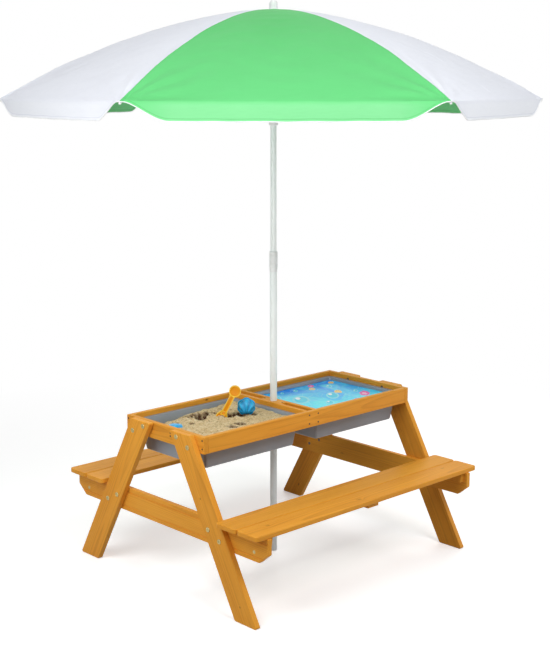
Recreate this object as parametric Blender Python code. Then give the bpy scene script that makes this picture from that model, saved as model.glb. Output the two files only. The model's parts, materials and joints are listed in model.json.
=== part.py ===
"""Picnic table with two lift-out play bins and a folding parasol.

Metres, +Z up. The origin is on the floor, under the pole. +X runs along the table and
-Y is the side of the front seat.
"""
import math

import bmesh
import bpy
from mathutils import Matrix, Vector

# Clearances and cuts
FIT_GAP = 0.0003
RUNNING_GAP = 0.0006
CUT_OVERRUN = 0.004
WELD_DISTANCE = 0.00001

# Table frame
FRAME_LENGTH = 0.866
FRAME_WIDTH = 0.354
TABLE_HEIGHT = 0.489
RAIL_HEIGHT = 0.049
RAIL_THICKNESS = 0.015
CROSS_RAIL_THICKNESS = 0.012
WOOD_EDGE_ROUND = 0.0012

# Blocks that steady the pole between the cross rails
POLE_HOLE_CLEARANCE = 0.0008
POLE_BLOCK_REACH = 0.045
POLE_BLOCK_START_SHARE = 0.55

# Legs
LEG_WIDTH = 0.078
LEG_THICKNESS = 0.0175
LEG_FOOT_OFFSET = 0.365
LEG_TOP_OFFSET = 0.090
LEG_CORNER_RADIUS = 0.004

# Seat beams
BEAM_HEIGHT = 0.075
BEAM_THICKNESS = 0.015
BEAM_END_REACH = 0.0045
BEAM_CHAMFER_LENGTH = 0.036
BEAM_CHAMFER_HEIGHT = 0.030
GROOVE_WIDTH = 0.004
GROOVE_DEPTH = 0.0015
GROOVE_INSET = 0.014

# Seats
SEAT_HEIGHT = 0.2745
SEAT_THICKNESS = 0.0135
SEAT_OVERHANG = 0.037
SEAT_PLANK_WIDTH = 0.0827
SEAT_PLANK_GAP = 0.003
SEAT_LEG_GAP = 0.0007
SEAT_CORNER_RADIUS = 0.010
CLEAT_WIDTH = 0.045
CLEAT_THICKNESS = 0.0135
CLEAT_END_INSET = 0.010

# Ledgers that carry the bins
LEDGER_WIDTH = 0.010
LEDGER_HEIGHT = 0.018

# Bins
BIN_CLEARANCE = 0.001
BIN_RIM_DROP = 0.0145
BIN_DEPTH = 0.0915
BIN_WALL = 0.0025
BIN_FLANGE_WIDTH = 0.010
BIN_FLANGE_THICKNESS = 0.003
BIN_DRAFT = 0.012
BIN_FOOT_RADIUS = 0.005
BIN_CORNER_RADIUS = 0.018
BIN_CORNER_DRAFT_SHARE = 0.35

# Sand and water
SAND_TOP_DROP = 0.008
SAND_CORNER_DIP = 0.034
SAND_RIPPLE = 0.0015
SAND_RIPPLES_LONG = 1.15
SAND_RIPPLES_WIDE = 1.05
SAND_RIPPLE_TURN = math.radians(40.0)
SAND_DIP_START_SHARE = 0.20
SAND_DIP_SLANT_SHARE = 0.50
WATER_TOP_DROP = 0.013

# Spade stuck in the sand
SPADE_THICKNESS = 0.006
SPADE_GRIP_RADIUS = 0.018
SPADE_DISH_RADIUS = 0.0135
SPADE_DISH_DEPTH = 0.002
SPADE_SHAFT_WIDTH = 0.0155
SPADE_SHAFT_LENGTH = 0.0875
SPADE_BLADE_WIDTH = 0.036
SPADE_BLADE_LENGTH = 0.026
SPADE_BLADE_RADIUS = 0.006
SPADE_LEAN = math.radians(27.0)
SPADE_TURN = math.radians(-43.0)
SPADE_END_INSET = 0.159
SPADE_Y_IN_BIN = 0.032
SPADE_SINK = 0.020

# Shell mould standing in the sand
MOULD_RADIUS = 0.029
MOULD_FLANGE = 0.004
MOULD_HEIGHT = 0.022
MOULD_WALL = 0.002
MOULD_RIDGE = 0.0022
MOULD_TURN = math.radians(-40.0)
MOULD_END_INSET = 0.086
MOULD_Y_IN_BIN = 0.004
MOULD_SINK = 0.006

# Star mould lying in the sand
STAR_RADIUS = 0.027
STAR_VALLEY_RADIUS = 0.015
STAR_HEIGHT = 0.012
STAR_ARMS = 5
STAR_END_INSET = 0.062
STAR_Y_IN_BIN = 0.036
STAR_SINK = 0.004

# Pole
LOWER_TUBE_RADIUS = 0.01075
LOWER_TUBE_WALL = 0.001
LOWER_TUBE_TOP = 0.935
UPPER_TUBE_RADIUS = 0.00925
UPPER_TUBE_WALL = 0.00125
UPPER_TUBE_BOTTOM = 0.765
FOOT_PLUG_FLANGE = 0.004
FOOT_PLUG_STEM = 0.025
COLLAR_BOTTOM = 0.905
COLLAR_TOP = 0.955
COLLAR_RADIUS = 0.0123
COLLAR_EDGE_ROUND = 0.0012
COLLAR_RING_HEIGHT = 0.012
COLLAR_RING_RADIUS = 0.0118

# Canopy
RIB_COUNT = 6
RIB_TURN = math.radians(19.2)
CANOPY_RADIUS = 0.808
CANOPY_TOP = 1.668
CANOPY_DROP = 0.258
CANOPY_CURVE_POWER = 1.75
CANOPY_THICKNESS = 0.0015
CANOPY_BILLOW = 0.006
CANOPY_HOLE_CLEARANCE = 0.0035
VALANCE_DEPTH = 0.048
VALANCE_CORNER_LENGTH = 0.100
VALANCE_CURVE_POWER = 0.85

# Hub, ribs, stretchers and runner
RIB_RADIUS = 0.0025
RIB_FABRIC_GAP = 0.0012
RIB_END_INSET = 0.004
RIB_LEVEL_END = 0.070
EYE_RADIUS = 0.0035
HUB_RADIUS = 0.0255
HUB_PIVOT_RADIUS = 0.020
HUB_DISC_THICKNESS = 0.0025
HUB_SKIRT = 0.007
HUB_FABRIC_GAP = 0.0015
STRETCHER_RADIUS = 0.0018
STRETCHER_JOINT_RADIUS = 0.290
LUG_DROP = 0.008
LUG_THICKNESS = 0.003
LUG_RADIUS = 0.0035
LUG_HOLE_RADIUS = 0.0015
FORK_PIN_RADIUS = 0.0010
FORK_CHEEK = 0.0015
FORK_SLOT_LENGTH = 0.0055
FORK_LENGTH = 0.010
RUNNER_DROP = 0.268
RUNNER_PIVOT_RADIUS = 0.0215
RUNNER_CROWN_RADIUS = 0.026
RUNNER_CROWN_HEIGHT = 0.012
RUNNER_SLEEVE_RADIUS = 0.0135
RUNNER_SLEEVE_LENGTH = 0.060

# Finial
FINIAL_RADIUS = 0.0135
FINIAL_HEIGHT = 0.0265
FINIAL_BORE_DEPTH = 0.008
FINIAL_SEAT_GAP = 0.0005

# Counts of faces
ROUND_STEPS = 24
ROD_STEPS = 8
CORNER_STEPS = 4
SIDE_STEPS = 8
GORE_RADIAL_STEPS = 12
GORE_SIDE_STEPS = 5
SAND_RINGS = 9
RIB_STEPS = 12

# Places that follow from the sizes above
POLE_GAP = 2 * (LOWER_TUBE_RADIUS + POLE_HOLE_CLEARANCE)
CROSS_RAIL_OFFSET = (POLE_GAP + CROSS_RAIL_THICKNESS) / 2
CROSS_RAIL_OUTER = CROSS_RAIL_OFFSET + CROSS_RAIL_THICKNESS / 2
FRAME_HALF_LENGTH = FRAME_LENGTH / 2
FRAME_HALF_WIDTH = FRAME_WIDTH / 2
FRAME_INNER_X = FRAME_HALF_LENGTH - RAIL_THICKNESS
FRAME_INNER_Y = FRAME_HALF_WIDTH - RAIL_THICKNESS
RAIL_MIDDLE_HEIGHT = TABLE_HEIGHT - RAIL_HEIGHT / 2
LEG_LEAN = math.atan2(LEG_FOOT_OFFSET - LEG_TOP_OFFSET, TABLE_HEIGHT)
LEG_HALF_CUT = LEG_WIDTH / 2 / math.cos(LEG_LEAN)
LEG_MIDDLE_OFFSET = (LEG_FOOT_OFFSET + LEG_TOP_OFFSET) / 2
SEAT_LENGTH = FRAME_LENGTH + 2 * SEAT_OVERHANG
SEAT_UNDERSIDE = SEAT_HEIGHT - SEAT_THICKNESS
BEAM_TOP = SEAT_UNDERSIDE - FIT_GAP
SEAT_INNER_Y = (
    LEG_FOOT_OFFSET - math.tan(LEG_LEAN) * SEAT_UNDERSIDE + LEG_HALF_CUT + SEAT_LEG_GAP
)
SEAT_OUTER_Y = SEAT_INNER_Y + 2 * SEAT_PLANK_WIDTH + SEAT_PLANK_GAP
BEAM_HALF_LENGTH = SEAT_OUTER_Y + BEAM_END_REACH
BIN_MIDDLE_X = (FRAME_INNER_X + CROSS_RAIL_OUTER) / 2
BIN_HALF_LENGTH = (FRAME_INNER_X - CROSS_RAIL_OUTER) / 2 - BIN_CLEARANCE
BIN_HALF_WIDTH = FRAME_INNER_Y - BIN_CLEARANCE
BIN_RIM_HEIGHT = TABLE_HEIGHT - BIN_RIM_DROP
BIN_FLOOR_HEIGHT = BIN_RIM_HEIGHT - BIN_DEPTH
LEDGER_TOP = BIN_RIM_HEIGHT - BIN_FLANGE_THICKNESS - FIT_GAP
RUNNER_PIVOT_HEIGHT = CANOPY_TOP - RUNNER_DROP
EYE_LENGTH = EYE_RADIUS
RIB_NORMAL_OFFSET = CANOPY_THICKNESS + RIB_FABRIC_GAP + RIB_RADIUS


def clear_scene():
    for old in list(bpy.data.objects):
        bpy.data.objects.remove(old, do_unlink=True)


def paint(name, colour, roughness, metallic=0.0):
    """A plain material of one colour."""
    material = bpy.data.materials.new(name)
    material.use_nodes = True
    shader = material.node_tree.nodes["Principled BSDF"]
    shader.inputs["Base Color"].default_value = (*colour, 1.0)
    shader.inputs["Roughness"].default_value = roughness
    shader.inputs["Metallic"].default_value = metallic
    return material


def new_object(name, mesh, material, parent=None, location=(0, 0, 0), turn=(0, 0, 0)):
    piece = bpy.data.objects.new(name, mesh)
    if not mesh.materials:
        mesh.materials.append(material)
    piece.parent = parent
    piece.location = location
    piece.rotation_euler = turn
    bpy.context.scene.collection.objects.link(piece)
    return piece


def mesh_from(shape, name, smooth=False):
    """Closes a bmesh into a mesh whose faces point outwards."""
    bmesh.ops.remove_doubles(shape, verts=shape.verts, dist=WELD_DISTANCE)
    bmesh.ops.recalc_face_normals(shape, faces=shape.faces)
    if shape.calc_volume(signed=True) < 0:
        bmesh.ops.reverse_faces(shape, faces=shape.faces)
    mesh = bpy.data.meshes.new(name)
    shape.to_mesh(mesh)
    shape.free()
    if smooth:
        mesh.shade_smooth()
        mesh.set_sharp_from_angle(angle=math.radians(35.0))
    return mesh


def rounded_outline(corners, radius, steps=CORNER_STEPS):
    """An outline whose corners are arcs of one radius."""
    points = []
    count = len(corners)
    for index, corner in enumerate(corners):
        here = Vector(corner)
        back = (Vector(corners[index - 1]) - here).normalized()
        ahead = (Vector(corners[(index + 1) % count]) - here).normalized()
        half_angle = back.angle(ahead) / 2
        middle = (back + ahead).normalized()
        centre = here + middle * (radius / math.sin(half_angle))
        start = here + back * (radius / math.tan(half_angle)) - centre
        finish = here + ahead * (radius / math.tan(half_angle)) - centre
        sweep = start.angle_signed(finish)
        for step in range(steps + 1):
            turn = Matrix.Rotation(-sweep * step / steps, 2)
            points.append(tuple(centre + turn @ start))
    return points


def prism_mesh(name, outline, thickness, axis):
    """An outline made thick along X, Y or Z, half of it on each side of the plane."""
    shape = bmesh.new()
    half = thickness / 2
    places = {
        "X": lambda u, v, w: (w, u, v),
        "Y": lambda u, v, w: (u, w, v),
        "Z": lambda u, v, w: (u, v, w),
    }
    place = places[axis]
    low = [shape.verts.new(place(u, v, -half)) for u, v in outline]
    high = [shape.verts.new(place(u, v, half)) for u, v in outline]
    shape.faces.new(low)
    shape.faces.new(high)
    count = len(outline)
    for index in range(count):
        after = (index + 1) % count
        shape.faces.new((low[index], low[after], high[after], high[index]))
    return mesh_from(shape, name)


def loft_mesh(name, rings, closed_ends=True, cyclic=False, smooth=True):
    """Skins rings of points, each with as many points as the next."""
    shape = bmesh.new()
    rows = [[shape.verts.new(point) for point in ring] for ring in rings]
    pairs = list(zip(rows, rows[1:]))
    if cyclic:
        pairs.append((rows[-1], rows[0]))
    for first, second in pairs:
        count = len(first)
        for index in range(count):
            after = (index + 1) % count
            shape.faces.new((first[index], first[after], second[after], second[index]))
    if closed_ends and not cyclic:
        shape.faces.new(rows[0])
        shape.faces.new(rows[-1])
    return mesh_from(shape, name, smooth)


def turned_mesh(name, profile, steps=ROUND_STEPS):
    """Turns a closed profile of radius and height round Z."""
    rings = []
    for radius, height in profile:
        ring = []
        for step in range(steps):
            angle = 2 * math.pi * step / steps
            ring.append((radius * math.cos(angle), radius * math.sin(angle), height))
        rings.append(ring)
    on_axis = profile[0][0] == 0 and profile[-1][0] == 0
    if on_axis:
        return turned_solid(name, profile, rings)
    return loft_mesh(name, rings, cyclic=True)


def turned_solid(name, profile, rings):
    """The same, for a profile that starts and ends on the axis."""
    shape = bmesh.new()
    first = shape.verts.new((0, 0, profile[0][1]))
    last = shape.verts.new((0, 0, profile[-1][1]))
    rows = [[shape.verts.new(point) for point in ring] for ring in rings[1:-1]]
    count = len(rows[0])
    for index in range(count):
        after = (index + 1) % count
        shape.faces.new((first, rows[0][after], rows[0][index]))
        shape.faces.new((last, rows[-1][index], rows[-1][after]))
        for lower, upper in zip(rows, rows[1:]):
            shape.faces.new((lower[index], lower[after], upper[after], upper[index]))
    return mesh_from(shape, name, smooth=True)


def rod_rings(path, sides=ROD_STEPS):
    """Rings round a path in the XZ plane. Each entry is x, z, half height, half width."""
    rings = []
    for index, (x, z, half_height, half_width) in enumerate(path):
        before = path[max(index - 1, 0)]
        after = path[min(index + 1, len(path) - 1)]
        along = Vector((after[0] - before[0], after[1] - before[1])).normalized()
        across = Vector((-along.y, along.x))
        ring = []
        for side in range(sides):
            angle = 2 * math.pi * (side + 0.5) / sides
            rise = math.sin(angle) * half_height
            reach = math.cos(angle) * half_width
            ring.append((x + across.x * rise, reach, z + across.y * rise))
        rings.append(ring)
    return rings


def ease_edges(piece, width=WOOD_EDGE_ROUND):
    bevel = piece.modifiers.new("eased_edges", "BEVEL")
    bevel.width = width
    bevel.segments = 1
    bevel.limit_method = "ANGLE"
    bevel.angle_limit = math.radians(40.0)


def guide(name, mesh, parent=None, location=(0, 0, 0), turn=(0, 0, 0)):
    """A shape that only cuts or adds to a piece."""
    helper = bpy.data.objects.new(name, mesh)
    helper.parent = parent
    helper.location = location
    helper.rotation_euler = turn
    helper.hide_render = True
    helper.display_type = "WIRE"
    bpy.context.scene.collection.objects.link(helper)
    return helper


def combine(piece, helper, operation):
    """Cuts a helper from a piece, or joins it on."""
    step = piece.modifiers.new(helper.name, "BOOLEAN")
    step.operation = operation
    step.solver = "EXACT"
    step.object = helper


def settled_mesh(piece, name):
    """The mesh of a piece after its modifiers, which copies can share."""
    bpy.context.view_layer.update()
    graph = bpy.context.evaluated_depsgraph_get()
    mesh = bpy.data.meshes.new_from_object(piece.evaluated_get(graph), depsgraph=graph)
    mesh.name = name
    return mesh


def rectangle(half_u, half_v):
    return [(-half_u, -half_v), (half_u, -half_v), (half_u, half_v), (-half_u, half_v)]


def box_mesh(name, size_x, size_y, size_z):
    return prism_mesh(name, rectangle(size_x / 2, size_y / 2), size_z, "Z")


def add_board(name, size, location, finish):
    board = new_object(name, box_mesh(name, *size), finish, location=location)
    ease_edges(board)
    return board


# Table frame
def add_frame(wood):
    """Two long rails between two end boards, and two cross rails that hold the pole."""
    rail_length = 2 * (FRAME_INNER_X - FIT_GAP)
    rail_y = FRAME_HALF_WIDTH - RAIL_THICKNESS / 2
    for name, side in (("rail_front", -1), ("rail_back", 1)):
        size = (rail_length, RAIL_THICKNESS, RAIL_HEIGHT)
        add_board(name, size, (0, side * rail_y, RAIL_MIDDLE_HEIGHT), wood)
    end_x = FRAME_HALF_LENGTH - RAIL_THICKNESS / 2
    for name, side in (("end_board_left", -1), ("end_board_right", 1)):
        size = (RAIL_THICKNESS, FRAME_WIDTH, RAIL_HEIGHT)
        add_board(name, size, (side * end_x, 0, RAIL_MIDDLE_HEIGHT), wood)
    cross_length = 2 * (FRAME_INNER_Y - FIT_GAP)
    for name, side in (("cross_rail_left", -1), ("cross_rail_right", 1)):
        size = (CROSS_RAIL_THICKNESS, cross_length, RAIL_HEIGHT)
        add_board(name, size, (side * CROSS_RAIL_OFFSET, 0, RAIL_MIDDLE_HEIGHT), wood)


def add_pole_blocks(wood):
    """A block on each side of the pole, hollowed to its round, between the cross rails."""
    hole_radius = POLE_GAP / 2
    start = POLE_BLOCK_START_SHARE * hole_radius
    half_width = hole_radius - FIT_GAP
    hole = [(hole_radius, -RAIL_HEIGHT), (hole_radius, RAIL_HEIGHT), (0, RAIL_HEIGHT)]
    hole.insert(0, (0, -RAIL_HEIGHT))
    for name, side in (("pole_block_front", -1), ("pole_block_back", 1)):
        length = POLE_BLOCK_REACH - start
        middle = side * (start + length / 2)
        size = (2 * half_width, length, RAIL_HEIGHT)
        block = add_board(name, size, (0, middle, RAIL_MIDDLE_HEIGHT), wood)
        cutter = guide(f"{name}_round", turned_mesh("pole_round", hole))
        cutter.location = (0, 0, RAIL_MIDDLE_HEIGHT)
        combine(block, cutter, "DIFFERENCE")


def add_legs(wood):
    """Four boards that lean inwards and are cut level at the floor and at the top."""
    x = FRAME_HALF_LENGTH + FIT_GAP + LEG_THICKNESS / 2
    half_height = TABLE_HEIGHT / 2
    shift = LEG_FOOT_OFFSET - LEG_MIDDLE_OFFSET
    for end, end_side in (("left", -1), ("right", 1)):
        for face, side in (("front", -1), ("back", 1)):
            name = f"leg_{end}_{face}"
            outline = [
                (side * shift - LEG_HALF_CUT, -half_height),
                (side * shift + LEG_HALF_CUT, -half_height),
                (-side * shift + LEG_HALF_CUT, half_height),
                (-side * shift - LEG_HALF_CUT, half_height),
            ]
            outline = rounded_outline(outline, LEG_CORNER_RADIUS, steps=2)
            mesh = prism_mesh(name, outline, LEG_THICKNESS, "X")
            place = (end_side * x, side * LEG_MIDDLE_OFFSET, half_height)
            leg = new_object(name, mesh, wood, location=place)
            ease_edges(leg)


def add_beams(wood):
    """A beam inside each pair of legs carries both seats."""
    half_height = BEAM_HEIGHT / 2
    reach = BEAM_HALF_LENGTH
    outline = [
        (-reach, half_height),
        (-reach, BEAM_CHAMFER_HEIGHT - half_height),
        (BEAM_CHAMFER_LENGTH - reach, -half_height),
        (reach - BEAM_CHAMFER_LENGTH, -half_height),
        (reach, BEAM_CHAMFER_HEIGHT - half_height),
        (reach, half_height),
    ]
    middle_height = BEAM_TOP - half_height
    groove_height = half_height - GROOVE_INSET
    for name, side in (("seat_beam_left", -1), ("seat_beam_right", 1)):
        x = side * (FRAME_HALF_LENGTH - BEAM_THICKNESS / 2)
        mesh = prism_mesh(name, outline, BEAM_THICKNESS, "X")
        beam = new_object(name, mesh, wood, location=(x, 0, middle_height))
        ease_edges(beam)
        for label, level in (("upper", groove_height), ("lower", -groove_height)):
            size = (2 * GROOVE_DEPTH, 2 * (reach + CUT_OVERRUN), GROOVE_WIDTH)
            groove = guide(f"{name}_{label}_groove", box_mesh("groove", *size))
            groove.location = (side * FRAME_HALF_LENGTH, 0, middle_height + level)
            combine(beam, groove, "DIFFERENCE")


def add_seats(wood):
    """Two planks to a seat, screwed to both beams, with a cleat under the middle."""
    middle_height = SEAT_HEIGHT - SEAT_THICKNESS / 2
    outline = rounded_outline(
        rectangle(SEAT_LENGTH / 2, SEAT_PLANK_WIDTH / 2), SEAT_CORNER_RADIUS
    )
    inner_y = SEAT_INNER_Y + SEAT_PLANK_WIDTH / 2
    outer_y = SEAT_OUTER_Y - SEAT_PLANK_WIDTH / 2
    cleat_length = SEAT_OUTER_Y - SEAT_INNER_Y - 2 * CLEAT_END_INSET
    cleat_height = SEAT_UNDERSIDE - FIT_GAP - CLEAT_THICKNESS / 2
    for face, side in (("front", -1), ("back", 1)):
        for label, y in (("inner", inner_y), ("outer", outer_y)):
            name = f"seat_plank_{face}_{label}"
            mesh = prism_mesh(name, outline, SEAT_THICKNESS, "Z")
            plank = new_object(name, mesh, wood, location=(0, side * y, middle_height))
            ease_edges(plank)
        cleat_y = side * (SEAT_INNER_Y + SEAT_OUTER_Y) / 2
        size = (CLEAT_WIDTH, cleat_length, CLEAT_THICKNESS)
        add_board(f"seat_cleat_{face}", size, (0, cleat_y, cleat_height), wood)


def add_ledgers(wood):
    """Battens on the long rails, which the bins' rims rest on."""
    start = CROSS_RAIL_OUTER + FIT_GAP
    finish = FRAME_INNER_X - FIT_GAP
    y = FRAME_INNER_Y - FIT_GAP - LEDGER_WIDTH / 2
    for end, end_side in (("sand", -1), ("water", 1)):
        for face, side in (("front", -1), ("back", 1)):
            size = (finish - start, LEDGER_WIDTH, LEDGER_HEIGHT)
            place = (end_side * (start + finish) / 2, side * y, LEDGER_TOP - LEDGER_HEIGHT / 2)
            add_board(f"ledger_{end}_{face}", size, place, wood)


# Bins and what they hold
def bin_ring(inset, height, side_steps=1):
    """A rounded rectangle, drawn in from the rim's edge by an inset."""
    half_x = BIN_HALF_LENGTH - inset
    half_y = BIN_HALF_WIDTH - inset
    radius = BIN_CORNER_RADIUS - BIN_CORNER_DRAFT_SHARE * inset
    corners = [
        (half_x - radius, half_y - radius, 0.0),
        (radius - half_x, half_y - radius, math.pi / 2),
        (radius - half_x, radius - half_y, math.pi),
        (half_x - radius, radius - half_y, 3 * math.pi / 2),
    ]
    points = []
    for index, (x, y, first_angle) in enumerate(corners):
        for step in range(CORNER_STEPS + 1):
            angle = first_angle + math.pi / 2 * step / CORNER_STEPS
            points.append((x + radius * math.cos(angle), y + radius * math.sin(angle), height))
        here = Vector(points[-1])
        next_x, next_y, next_angle = corners[(index + 1) % len(corners)]
        target = Vector((
            next_x + radius * math.cos(next_angle), next_y + radius * math.sin(next_angle), height
        ))
        for step in range(1, side_steps):
            points.append(tuple(here.lerp(target, step / side_steps)))
    return points


def bin_inner_profile(gap):
    """Inset and height of the inside of a bin, from its floor up, a gap away from it."""
    foot = BIN_FLANGE_WIDTH + BIN_DRAFT + BIN_WALL + gap
    return [
        (foot + BIN_FOOT_RADIUS, BIN_WALL + gap),
        (foot, BIN_WALL + BIN_FOOT_RADIUS + gap),
        (BIN_FLANGE_WIDTH + BIN_WALL + gap, BIN_DEPTH),
    ]


def add_bin(name, side, finish):
    """A moulded tub with drafted walls, a round foot and a flange that hangs on ledgers."""
    foot = BIN_FLANGE_WIDTH + BIN_DRAFT
    profile = []
    for step in range(CORNER_STEPS + 1):
        angle = math.pi / 2 * step / CORNER_STEPS
        inset = foot + BIN_FOOT_RADIUS * (1 - math.sin(angle))
        profile.append((inset, BIN_FOOT_RADIUS * (1 - math.cos(angle))))
    profile.append((BIN_FLANGE_WIDTH, BIN_DEPTH - BIN_FLANGE_THICKNESS))
    profile.append((0, BIN_DEPTH - BIN_FLANGE_THICKNESS))
    profile.append((0, BIN_DEPTH))
    profile.extend(reversed(bin_inner_profile(0)))
    rings = [bin_ring(inset, height) for inset, height in profile]
    place = (side * BIN_MIDDLE_X, 0, BIN_FLOOR_HEIGHT)
    return new_object(name, loft_mesh(name, rings), finish, location=place)


def sand_height(x, y):
    """The sand's surface over the bin's floor. It falls away to the back left corner."""
    u = x / BIN_HALF_LENGTH
    v = y / BIN_HALF_WIDTH
    slope = v - SAND_DIP_SLANT_SHARE * u - SAND_DIP_START_SHARE
    most = 1 + SAND_DIP_SLANT_SHARE - SAND_DIP_START_SHARE
    dip = SAND_CORNER_DIP * min(max(slope / most, 0.0), 1.0) ** 2
    long_wave = math.sin(2 * math.pi * SAND_RIPPLES_LONG * u + SAND_RIPPLE_TURN)
    wide_wave = math.cos(2 * math.pi * SAND_RIPPLES_WIDE * v)
    return BIN_DEPTH - SAND_TOP_DROP - dip + SAND_RIPPLE * long_wave * wide_wave


def wall_inset(height):
    """The inset of what fills a bin, at a height on the drafted wall."""
    profile = bin_inner_profile(FIT_GAP)
    low_inset, low_height = profile[1]
    high_inset, high_height = profile[2]
    share = (height - low_height) / (high_height - low_height)
    return low_inset + (high_inset - low_inset) * share


def add_sand(finish, tub):
    profile = bin_inner_profile(FIT_GAP)
    rings = [bin_ring(inset, height, SIDE_STEPS) for inset, height in profile[:2]]
    edge = bin_ring(wall_inset(BIN_DEPTH - SAND_TOP_DROP), 0, SIDE_STEPS)
    levels = [sand_height(x, y) for x, y, _ in edge]
    edge = [
        (*bin_ring(wall_inset(level), 0, SIDE_STEPS)[index][:2], level)
        for index, level in enumerate(levels)
    ]
    rings.append(edge)
    for ring in range(1, SAND_RINGS):
        share = 1 - ring / SAND_RINGS
        rings.append([(x * share, y * share, sand_height(x * share, y * share)) for x, y, _ in edge])
    sand = new_object("sand", loft_mesh("sand", rings), finish, parent=tub)
    return sand


def add_water(finish, tub):
    profile = bin_inner_profile(FIT_GAP)
    level = BIN_DEPTH - WATER_TOP_DROP
    rings = [bin_ring(inset, height) for inset, height in profile[:2]]
    rings.append(bin_ring(wall_inset(level), level))
    return new_object("water", loft_mesh("water", rings), finish, parent=tub)


def arc(centre, radius, first, last, steps):
    """Points along an arc, from one angle to another."""
    points = []
    for step in range(steps + 1):
        angle = first + (last - first) * step / steps
        points.append((centre[0] + radius * math.cos(angle), centre[1] + radius * math.sin(angle)))
    return points


def spade_outline():
    """Blade, shaft and round grip in one outline."""
    half_shaft = SPADE_SHAFT_WIDTH / 2
    half_blade = SPADE_BLADE_WIDTH / 2
    grip = SPADE_GRIP_RADIUS
    neck = math.asin(half_shaft / grip)
    radius = SPADE_BLADE_RADIUS
    shoulder = SPADE_BLADE_LENGTH
    steps = CORNER_STEPS
    outline = arc((radius - half_blade, radius), radius, math.pi, 3 * math.pi / 2, steps)
    outline += arc((half_blade - radius, radius), radius, -math.pi / 2, 0, steps)
    outline.append((half_blade, shoulder - radius))
    outline.append((half_shaft, shoulder))
    centre = (0, SPADE_SHAFT_LENGTH + SPADE_GRIP_RADIUS)
    outline += arc(centre, grip, neck - math.pi / 2, 3 * math.pi / 2 - neck, ROUND_STEPS)
    outline.append((-half_shaft, shoulder))
    outline.append((-half_blade, shoulder - radius))
    return outline


def add_spade(finish, tub, sand):
    """A flat spade with a dished round grip, pushed into the sand at a lean."""
    x, y = BIN_HALF_LENGTH - SPADE_END_INSET, SPADE_Y_IN_BIN
    turn = (0, SPADE_LEAN, SPADE_TURN)
    foot = Vector((x, y, sand_height(x, y))) - lean_direction() * SPADE_SINK
    mesh = prism_mesh("spade", spade_outline(), SPADE_THICKNESS, "Y")
    spade = new_object("spade", mesh, finish, parent=tub, location=foot, turn=turn)
    ease_edges(spade)
    dish = turned_mesh("spade_dish", disc_profile(SPADE_DISH_RADIUS, 2 * SPADE_DISH_DEPTH))
    for label, side in (("front", -1), ("back", 1)):
        place = (0, side * SPADE_THICKNESS / 2, SPADE_SHAFT_LENGTH + SPADE_GRIP_RADIUS)
        cutter = guide(f"spade_dish_{label}", dish, spade, place, (math.pi / 2, 0, 0))
        combine(spade, cutter, "DIFFERENCE")
    pocket_mesh = box_mesh("spade_pocket", *blade_slot_size())
    lift = lean_direction() * (blade_slot_size()[2] / 2 - FIT_GAP)
    pocket = guide("spade_pocket", pocket_mesh, tub, foot + lift, turn)
    combine(sand, pocket, "DIFFERENCE")


def blade_slot_size():
    """The slot in the sand that the blade can be drawn up through."""
    width = SPADE_BLADE_WIDTH + 2 * FIT_GAP
    return (width, SPADE_THICKNESS + 2 * FIT_GAP, SPADE_BLADE_LENGTH + SPADE_BLADE_WIDTH)


def lean_direction():
    """The way the spade's shaft points."""
    turn = Matrix.Rotation(SPADE_TURN, 3, "Z") @ Matrix.Rotation(SPADE_LEAN, 3, "Y")
    return turn @ Vector((0, 0, 1))


def disc_profile(radius, height):
    half = height / 2
    return [(0, -half), (radius, -half), (radius, half), (0, half)]


def mould_profile():
    """The section of the shell mould: a flange, then a stepped dome, and the hollow inside."""
    dome = MOULD_RADIUS - MOULD_FLANGE
    outer = [(MOULD_RADIUS, 0), (MOULD_RADIUS, MOULD_WALL), (dome, MOULD_WALL)]
    inner = []
    for step in range(1, CORNER_STEPS + 1):
        angle = math.pi / 2 * step / (CORNER_STEPS + 1)
        ridge = MOULD_RIDGE if step % 2 else 0
        height = MOULD_WALL + (MOULD_HEIGHT - MOULD_WALL) * math.sin(angle) + ridge
        outer.append((dome * math.cos(angle), height))
        inner.append((dome * math.cos(angle) - MOULD_WALL / 2, height - ridge - MOULD_WALL))
    inner[0] = (inner[0][0], max(inner[0][1], MOULD_WALL))
    top = MOULD_HEIGHT + MOULD_RIDGE
    profile = [(0, top - MOULD_WALL)]
    profile.extend(reversed(inner))
    profile.append((dome - MOULD_WALL, 0))
    profile.extend(outer)
    profile.append((0, top))
    return profile


def add_mould(finish, tub, sand):
    """A shell-shaped mould that stands on its edge in the sand."""
    x, y = BIN_HALF_LENGTH - MOULD_END_INSET, MOULD_Y_IN_BIN
    place = Vector((x, y, sand_height(x, y) + MOULD_RADIUS - MOULD_SINK))
    turn = (math.pi / 2, 0, MOULD_TURN)
    mesh = turned_mesh("shell_mould", mould_profile())
    new_object("shell_mould", mesh, finish, parent=tub, location=place, turn=turn)
    reach = MOULD_HEIGHT + MOULD_RIDGE + FIT_GAP
    radius = MOULD_RADIUS + FIT_GAP
    pocket_profile = [(0, -FIT_GAP), (radius, -FIT_GAP), (radius, reach), (0, reach)]
    pocket = guide("mould_pocket", turned_mesh("mould_pocket", pocket_profile), tub, place, turn)
    combine(sand, pocket, "DIFFERENCE")


def star_outline(margin):
    points = []
    for index in range(2 * STAR_ARMS):
        radius = (STAR_VALLEY_RADIUS if index % 2 else STAR_RADIUS) + margin
        angle = math.pi * index / STAR_ARMS
        points.append((radius * math.cos(angle), radius * math.sin(angle)))
    return points


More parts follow.
